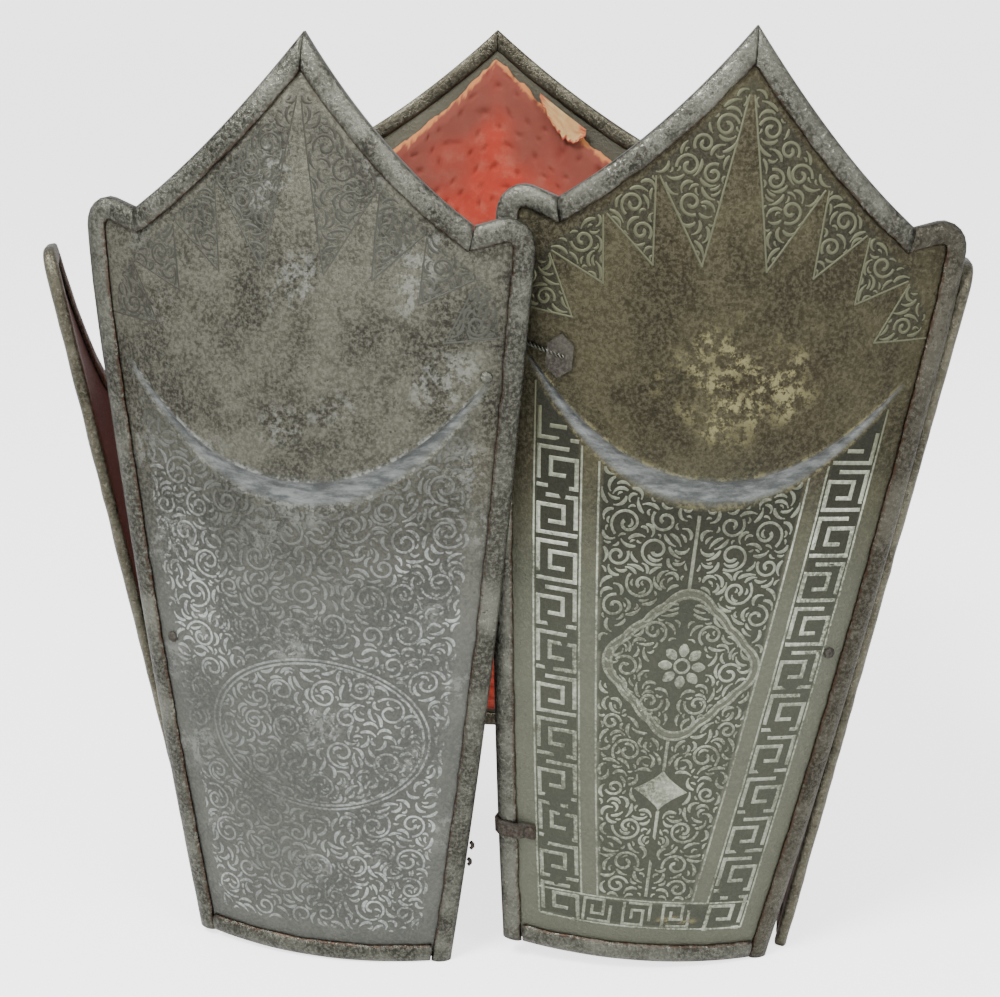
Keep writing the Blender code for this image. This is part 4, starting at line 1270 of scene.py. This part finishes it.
def build_strips(plate, seed):
    """All the strips of a plate."""
    side, upper = edge_paths(plate)
    seam = mitre(unit(side[-1] - side[-2]), unit(upper[1] - upper[0]))
    level_in = np.array([-1.0, 0.0])
    runs = inward(side, level_in, seam)
    build_strip(plate, "side_right", side, runs, seed)
    build_strip(plate, "side_left", *flip(side, runs), seed + 1)
    peak = np.array([0.0, -1.0]) / max(abs(unit(upper[-1] - upper[-2])[0]), 0.1)
    if plate.apex > plate.notch:
        runs = inward(upper, seam, peak)
        build_strip(plate, "ogee_right", upper, runs, seed + 2)
        build_strip(plate, "ogee_left", *flip(upper, runs), seed + 3)
    else:
        whole = np.concatenate([upper, upper[-2::-1] * MIRROR])
        other = seam * MIRROR
        build_strip(plate, "armhole", whole, inward(whole, seam, other), seed + 4)
    end = plate.half(0.0) - STRIP_REACH - GAP
    across = np.linspace(-end, end, int(2 * end / STRIP_STEP))
    path = np.stack([across, 0 * across], -1)
    slope = (plate.half_top - plate.half_bottom) / plate.shoulder
    runs = inward(path, np.array([-slope, 1.0]), np.array([slope, 1.0]))
    build_strip(plate, "bottom", path, runs, seed + 5)


# Lining


ROW_PITCH = 0.0105
DIMPLE_PITCH = 0.0125
DIMPLE_SIZE = 0.0015
FOOT_ROWS = 0.065
FOOT_PITCH = 0.0070
FOOT_BLEND = 0.01
DRIFT_ACROSS = 0.0030
DRIFT_UP = 0.0022
CHEVRON_HALF = 0.048
CHEVRON_RISE = 0.018
FLAP_DROP = 0.0140
FLAP_CURL = 0.0018
FLAP_THICK = 0.0009
FLAP_GRID = (60, 24)


def quilt(a, t):
    """Stitch dimples in chevron rows, and plain stitched rows near the foot, each 0 to 1."""
    a = a + DRIFT_ACROSS * waves(a, t, 81, 0.030)
    t = t + DRIFT_UP * waves(a, t, 82, 0.025)
    saw = np.abs(np.mod(a / CHEVRON_HALF, 2) - 1) * CHEVRON_RISE
    row = (t - saw) / ROW_PITCH
    odd = np.mod(np.floor(row), 2) * 0.5
    across = (np.mod(a / DIMPLE_PITCH + odd, 1.0) - 0.5) * DIMPLE_PITCH
    up = (np.mod(row, 1.0) - 0.5) * ROW_PITCH
    dimples = np.exp(-(across ** 2 + up ** 2) / DIMPLE_SIZE ** 2)
    rows = np.exp(-((np.mod(t / FOOT_PITCH, 1.0) - 0.5) / 0.16) ** 2)
    rows = rows * soft(FOOT_ROWS - t, FOOT_BLEND)
    return np.maximum(dimples * soft(t - FOOT_ROWS, FOOT_BLEND), rows)


def build_lining():
    """The quilted pad: stitches pull its inner face in, and its top edge is frayed."""
    columns, rows = LINING_GRID
    u = np.linspace(-1, 1, columns)
    top = BACK.top(u * BACK.half_top)
    ragged = 0.0013 * np.abs(waves(u, 0 * u, 71, 0.12)) + 0.0006 * np.abs(waves(u, 0 * u, 77, 0.03))
    v = np.linspace(0, 1, rows)[:, None]
    t = LINING_INSET + v * (top - LINING_INSET - LINING_TOP - ragged)
    a = u[None, :] * (BACK.half(t) - LINING_SIDE)
    dimples = quilt(a, t)
    edge = np.minimum(np.minimum(v, 1 - v) * rows / 6, (1 - np.abs(u[None, :])) * columns / 8)
    puff = np.clip(edge, 0, 1) ** 0.5
    outer = -(SHEET / 2 + LINING_GAP) + 0 * a
    swell = 1 - 0.50 * dimples - 0.12 * np.abs(waves(a, t, 72, 0.035))
    depth = LINING_LEAST + (LINING_THICK - LINING_LEAST) * puff * swell
    uv = np.stack([a, t], -1).reshape(-1, 2)
    under = top[None, :] - t + 0.010 * waves(a, t, 73, 0.04)
    fade = 0.85 * soft(0.075 - under, 0.05)
    # Painted shade where the stitches pull the pad in, and random darker stains
    stitch = np.clip(dimples + 0.35 * soft(waves(a, t, 78, 0.03) - 0.7, 0.6), 0, 1)
    fray = soft(LINING_TOP + 0.0042 - (top[None, :] - t) + 0.0012 * waves(a, t, 79, 0.006), 0.0012)
    masks = {label: np.tile(values.ravel(), 2)
             for label, values in (("fade", fade), ("stitch", stitch), ("fray", fray))}
    item = shell("quilted_lining", BACK.place(a, t, outer), BACK.place(a, t, outer - depth),
                 uv, masks)
    finish_piece(item, "back", "back_lining", "red_quilt")


def build_fold():
    """The torn corner of the lining, turned over along its top edge and showing its back."""
    columns, rows = FLAP_GRID
    v, x = np.meshgrid(np.linspace(0, 1, rows), np.linspace(-0.5, 0.5, columns), indexing="ij")
    a = -(FOLD_MIDDLE + x * FOLD_WIDTH)
    drop = np.sin(math.pi * np.clip(x + 0.5, 0.03, 0.97)) ** 0.6 * (1 + 0.25 * x)
    drop = drop + 0.05 * waves(x, 0 * x, 74, 0.15)
    t = BACK.top(np.abs(a)) - LINING_TOP + 0.0006 - v * np.clip(drop, 0.1, 1.2) * FLAP_DROP
    face = -(SHEET / 2 + LINING_GAP + LINING_THICK + GAP)
    curl = face - FLAP_CURL * v ** 2 + 0.0002 * waves(x, v, 75, 0.4)
    uv = np.stack([a, t], -1).reshape(-1, 2)
    fade = soft(np.abs(x) - 0.28 + 0.08 * waves(x, v, 76, 0.2), 0.2)
    fray = soft(v - 0.84 + 0.05 * waves(x, v, 80, 0.1), 0.08)
    masks = {"fade": np.tile(fade.ravel(), 2), "stitch": np.zeros(2 * a.size),
             "fray": np.tile(fray.ravel(), 2)}
    item = shell("lining_flap", BACK.place(a, t, curl), BACK.place(a, t, curl - FLAP_THICK),
                 uv, masks)
    finish_piece(item, "back", "back_lining_fold", "cream_backing")


# Wire and stage


# Route of the clasp's tie on the right front, and its two twisted wires
TIE_HEIGHT = 0.2870
TIE_START = 0.2868
TIE_RISE = 0.0034
TIE_INSET = 0.0290
TIE_LENGTH = 0.0162
TIE_ABOVE = 0.0018
TIE_FALL = 0.0008
TIE_TURNS = 4.5
TIE_TWIST = 0.0006
WIRE_RADIUS = 0.00045
WIRE_POINTS = 60
WIRE_SIDES = 7
WIRE_ASIDE = (0.31, 0.22, 0.92)


def tube(points, radius):
    """Rings of a round wire along a path of points."""
    along = np.gradient(points, axis=0)
    along /= np.linalg.norm(along, axis=1, keepdims=True)
    across = np.cross(along, np.array(WIRE_ASIDE))
    across /= np.linalg.norm(across, axis=1, keepdims=True)
    other = np.cross(along, across)
    turn = np.linspace(0, math.tau, WIRE_SIDES + 1)[:-1]
    ring = (across[:, None] * np.cos(turn)[None, :, None]
            + other[:, None] * np.sin(turn)[None, :, None])
    return points[:, None] + radius * ring


def build_wire():
    """Twisted tie of the upper clasp: two thin wires wound round one route."""
    plate = FRONT_RIGHT
    share = np.linspace(0, 1, WIRE_POINTS)
    a = -(plate.half(TIE_HEIGHT) - TIE_INSET + TIE_LENGTH * share)
    t = TIE_START + TIE_RISE * share
    over = plate.face(a, t) + TIE_ABOVE - TIE_FALL * share
    points, faces, start = [], [], 0
    for phase in (0.0, math.pi):
        turn = phase + share * math.tau * TIE_TURNS
        path = plate.place(a, t + TIE_TWIST * np.sin(turn), over + TIE_TWIST * np.cos(turn))
        rings = tube(path, WIRE_RADIUS)
        faces += tube_faces(*rings.shape[:2], start)
        points.append(rings.reshape(-1, 3))
        start += len(points[-1])
    item = make_mesh("clasp_tie", np.concatenate(points), faces)
    finish_piece(item, "front_right", "upper_clasp_wire", "strip_finish")


def add_area(name, spot, size, power):
    """A soft area light that looks at the middle of the cuirass."""
    lamp = bpy.data.lights.new(name, "AREA")
    lamp.shape = "DISK"
    lamp.size = size
    lamp.energy = power
    item = bpy.data.objects.new(name, lamp)
    item.location = spot
    item.rotation_euler = (Vector(LIGHT_AIM) - Vector(spot)).to_track_quat("-Z", "Y").to_euler()
    bpy.context.scene.collection.objects.link(item)


def light_room(tree):
    """A room that looks white to the camera and lights the metal more softly."""
    path = tree.nodes.new("ShaderNodeLightPath")
    strength = level(tree, path.outputs["Is Camera Ray"], ROOM_LIGHT, ROOM_WHITE)
    tree.links.new(strength, tree.nodes["Background"].inputs["Strength"])


def build_stage():
    """Pale floor, soft light all round, and the camera at the photograph's angle."""
    size = FLOOR_HALF
    corners = np.array([(-size, -size, 0), (size, -size, 0), (size, size, 0), (-size, size, 0)])
    floor = make_mesh("floor", corners, [[0, 1, 2, 3]])
    tree, shader = new_material("pale_floor", 0.0, 0.6)
    seen = tree.nodes.new("ShaderNodeLightPath").outputs["Is Camera Ray"]
    tree.links.new(blend(tree, seen, (0.0, 0.0, 0.0), (FLOOR_GLOW,) * 3),
                   shader.inputs["Emission Color"])
    shader.inputs["Emission Strength"].default_value = 1.0
    shader.inputs["Base Color"].default_value = (*colours().floor, 1.0)
    floor.data.materials.append(bpy.data.materials["pale_floor"])
    world = bpy.data.worlds.new("soft_room")
    world.use_nodes = True
    world.node_tree.nodes["Background"].inputs["Color"].default_value = (1.0, 1.0, 1.0, 1.0)
    light_room(world.node_tree)
    bpy.context.scene.world = world
    for light in LIGHTS:
        add_area(*light)
    lens = bpy.data.cameras.new("photo_camera")
    lens.sensor_width = SENSOR_MM
    lens.lens = FOCAL_PIXELS * SENSOR_MM / PHOTO_WIDTH
    camera = bpy.data.objects.new("photo_camera", lens)
    origin = camera_origin()
    camera.location = (origin[0], origin[1] - CAMERA_BACK, CAMERA_HEIGHT)
    camera.rotation_euler = (math.pi / 2 - CAMERA_PITCH, 0.0, 0.0)
    bpy.context.scene.collection.objects.link(camera)
    bpy.context.scene.camera = camera


def camera_origin():
    """Point of the floor that the camera was measured from, found from the back plate."""
    return SHIFTS["back"][0] - BACK_FOOT[0], SHIFTS["back"][1] - BACK_FOOT[1]


# User settings, operators and panel


class CuirassSizes(bpy.types.PropertyGroup):
    """Sizes of the surface work."""
    stroke: bpy.props.FloatProperty(
        name="Ornament stroke", description="Width of a raised line of the ornament",
        default=0.0010, min=0.0003, unit="LENGTH")
    right_relief: bpy.props.FloatProperty(
        name="Right relief", description="Height of the ornament of the right front",
        default=0.00016, min=0.0, unit="LENGTH")
    left_relief: bpy.props.FloatProperty(
        name="Left relief", description="Height of the worn ornament of the left front",
        default=0.00009, min=0.0, unit="LENGTH")


def colour(name, description, value):
    """A colour property."""
    return bpy.props.FloatVectorProperty(name=name, description=description, default=value,
                                         subtype="COLOR", size=3, min=0.0, max=1.0)


class CuirassColours(bpy.types.PropertyGroup):
    """Colours of the finishes."""
    grey_steel: colour("Grey steel", "Light patches of the left front", (0.096, 0.094, 0.072))
    olive_steel: colour("Olive steel", "Light patches of the right front", (0.054, 0.049, 0.027))
    relief: colour("Relief", "Tops of the right front's ornament", (0.40, 0.43, 0.35))
    inside: colour("Inside", "Smooth brown steel of the inner faces", (0.120, 0.088, 0.084))
    strip: colour("Strips", "Worn crowns of the edge strips", (0.120, 0.121, 0.100))
    rust: colour("Rust", "Rust in creases and on fittings", (0.060, 0.026, 0.014))
    red_cloth: colour("Red cloth", "Quilted lining", (0.47, 0.045, 0.023))
    cream_cloth: colour("Cream cloth", "Underside of the folded corner", (0.60, 0.33, 0.13))
    floor: colour("Floor", "Pale surface under the cuirass", (0.90, 0.90, 0.90))


class CUIRASS_OT_finishes(bpy.types.Operator):
    """Make the node groups and materials"""
    bl_idname = "cuirass.finishes"
    bl_label = "Finishes"

    def execute(self, context):
        build_materials()
        return {"FINISHED"}


class CUIRASS_OT_plates(bpy.types.Operator):
    """Bend the five sheets"""
    bl_idname = "cuirass.plates"
    bl_label = "Plates"

    def execute(self, context):
        build_plate(FRONT_LEFT, FINE_GRID, "grey_plate", left_ground)
        build_plate(FRONT_RIGHT, FINE_GRID, "olive_plate", right_ground)
        build_plate(BACK, PLAIN_GRID, "back_plate", plain_ground)
        for plate in (SIDE_LEFT, SIDE_RIGHT):
            build_plate(plate, PLAIN_GRID, "brown_plate", plain_ground)
        return {"FINISHED"}


class CUIRASS_OT_relief(bpy.types.Operator):
    """Raise the ornament of both fronts"""
    bl_idname = "cuirass.relief"
    bl_label = "Ornament"

    def execute(self, context):
        sizes = context.scene.cuirass_sizes
        right = raise_strokes("right_ornament", FRONT_RIGHT,
                              right_relief_sets(FRONT_RIGHT, sizes.stroke), sizes.right_relief)
        left = raise_strokes("left_ornament", FRONT_LEFT,
                             left_relief_sets(FRONT_LEFT, 0.85 * sizes.stroke),
                             sizes.left_relief)
        for item, body, slot, name in ((right, "front_right", "olive_steel", "olive_relief"),
                                       (left, "front_left", "grey_steel", "grey_relief")):
            item.data.materials.append(bpy.data.materials[name])
            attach(item, body)
        return {"FINISHED"}


class CUIRASS_OT_strips(bpy.types.Operator):
    """Clasp every edge with its strips"""
    bl_idname = "cuirass.strips"
    bl_label = "Edge strips"

    def execute(self, context):
        for number, plate in enumerate(PLATES):
            build_strips(plate, 100 + 10 * number)
        return {"FINISHED"}


class CUIRASS_OT_lining(bpy.types.Operator):
    """Quilt the lining and fold its corner over"""
    bl_idname = "cuirass.lining"
    bl_label = "Lining"

    def execute(self, context):
        build_lining()
        build_fold()
        return {"FINISHED"}


class CUIRASS_OT_fittings(bpy.types.Operator):
    """Twist the wire tie and give hinges, rivets and clasps their iron"""
    bl_idname = "cuirass.fittings"
    bl_label = "Fittings"

    def execute(self, context):
        build_wire()
        for name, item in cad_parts.items():
            if "hinge" in name or "clasp" in name:
                item.data.materials.clear()
                finish = "strip_finish" if name == "upper_clasp_rivet" else "iron_finish"
                item.data.materials.append(bpy.data.materials[finish])
        return {"FINISHED"}


class CUIRASS_OT_stage(bpy.types.Operator):
    """Set the floor, the lights and the camera"""
    bl_idname = "cuirass.stage"
    bl_label = "Stage"

    def execute(self, context):
        build_stage()
        return {"FINISHED"}


OPERATORS = (CUIRASS_OT_finishes, CUIRASS_OT_stage, CUIRASS_OT_plates, CUIRASS_OT_relief,
             CUIRASS_OT_strips, CUIRASS_OT_lining, CUIRASS_OT_fittings)


class CUIRASS_PT_panel(bpy.types.Panel):
    """Buttons and settings of the cuirass"""
    bl_idname = "CUIRASS_PT_panel"
    bl_label = "Cuirass"
    bl_space_type = "VIEW_3D"
    bl_region_type = "UI"
    bl_category = "Cuirass"

    def draw(self, context):
        for settings in (context.scene.cuirass_sizes, context.scene.cuirass_colours):
            for name in settings.__annotations__:
                self.layout.prop(settings, name)
        for operator in OPERATORS:
            self.layout.operator(operator.bl_idname)


CLASSES = (CuirassSizes, CuirassColours, *OPERATORS, CUIRASS_PT_panel)


def register():
    """Add the classes and the scene's settings."""
    for entry in CLASSES:
        bpy.utils.register_class(entry)
    bpy.types.Scene.cuirass_sizes = bpy.props.PointerProperty(type=CuirassSizes)
    bpy.types.Scene.cuirass_colours = bpy.props.PointerProperty(type=CuirassColours)


def unregister():
    """Take them away again."""
    del bpy.types.Scene.cuirass_colours
    del bpy.types.Scene.cuirass_sizes
    for entry in reversed(CLASSES):
        bpy.utils.unregister_class(entry)


def main():
    """Dress the cuirass."""
    register()
    bpy.ops.cuirass.finishes()
    bpy.ops.cuirass.stage()
    bpy.ops.cuirass.plates()
    bpy.ops.cuirass.relief()
    bpy.ops.cuirass.strips()
    bpy.ops.cuirass.lining()
    bpy.ops.cuirass.fittings()


if __name__ == "__main__":
    main()
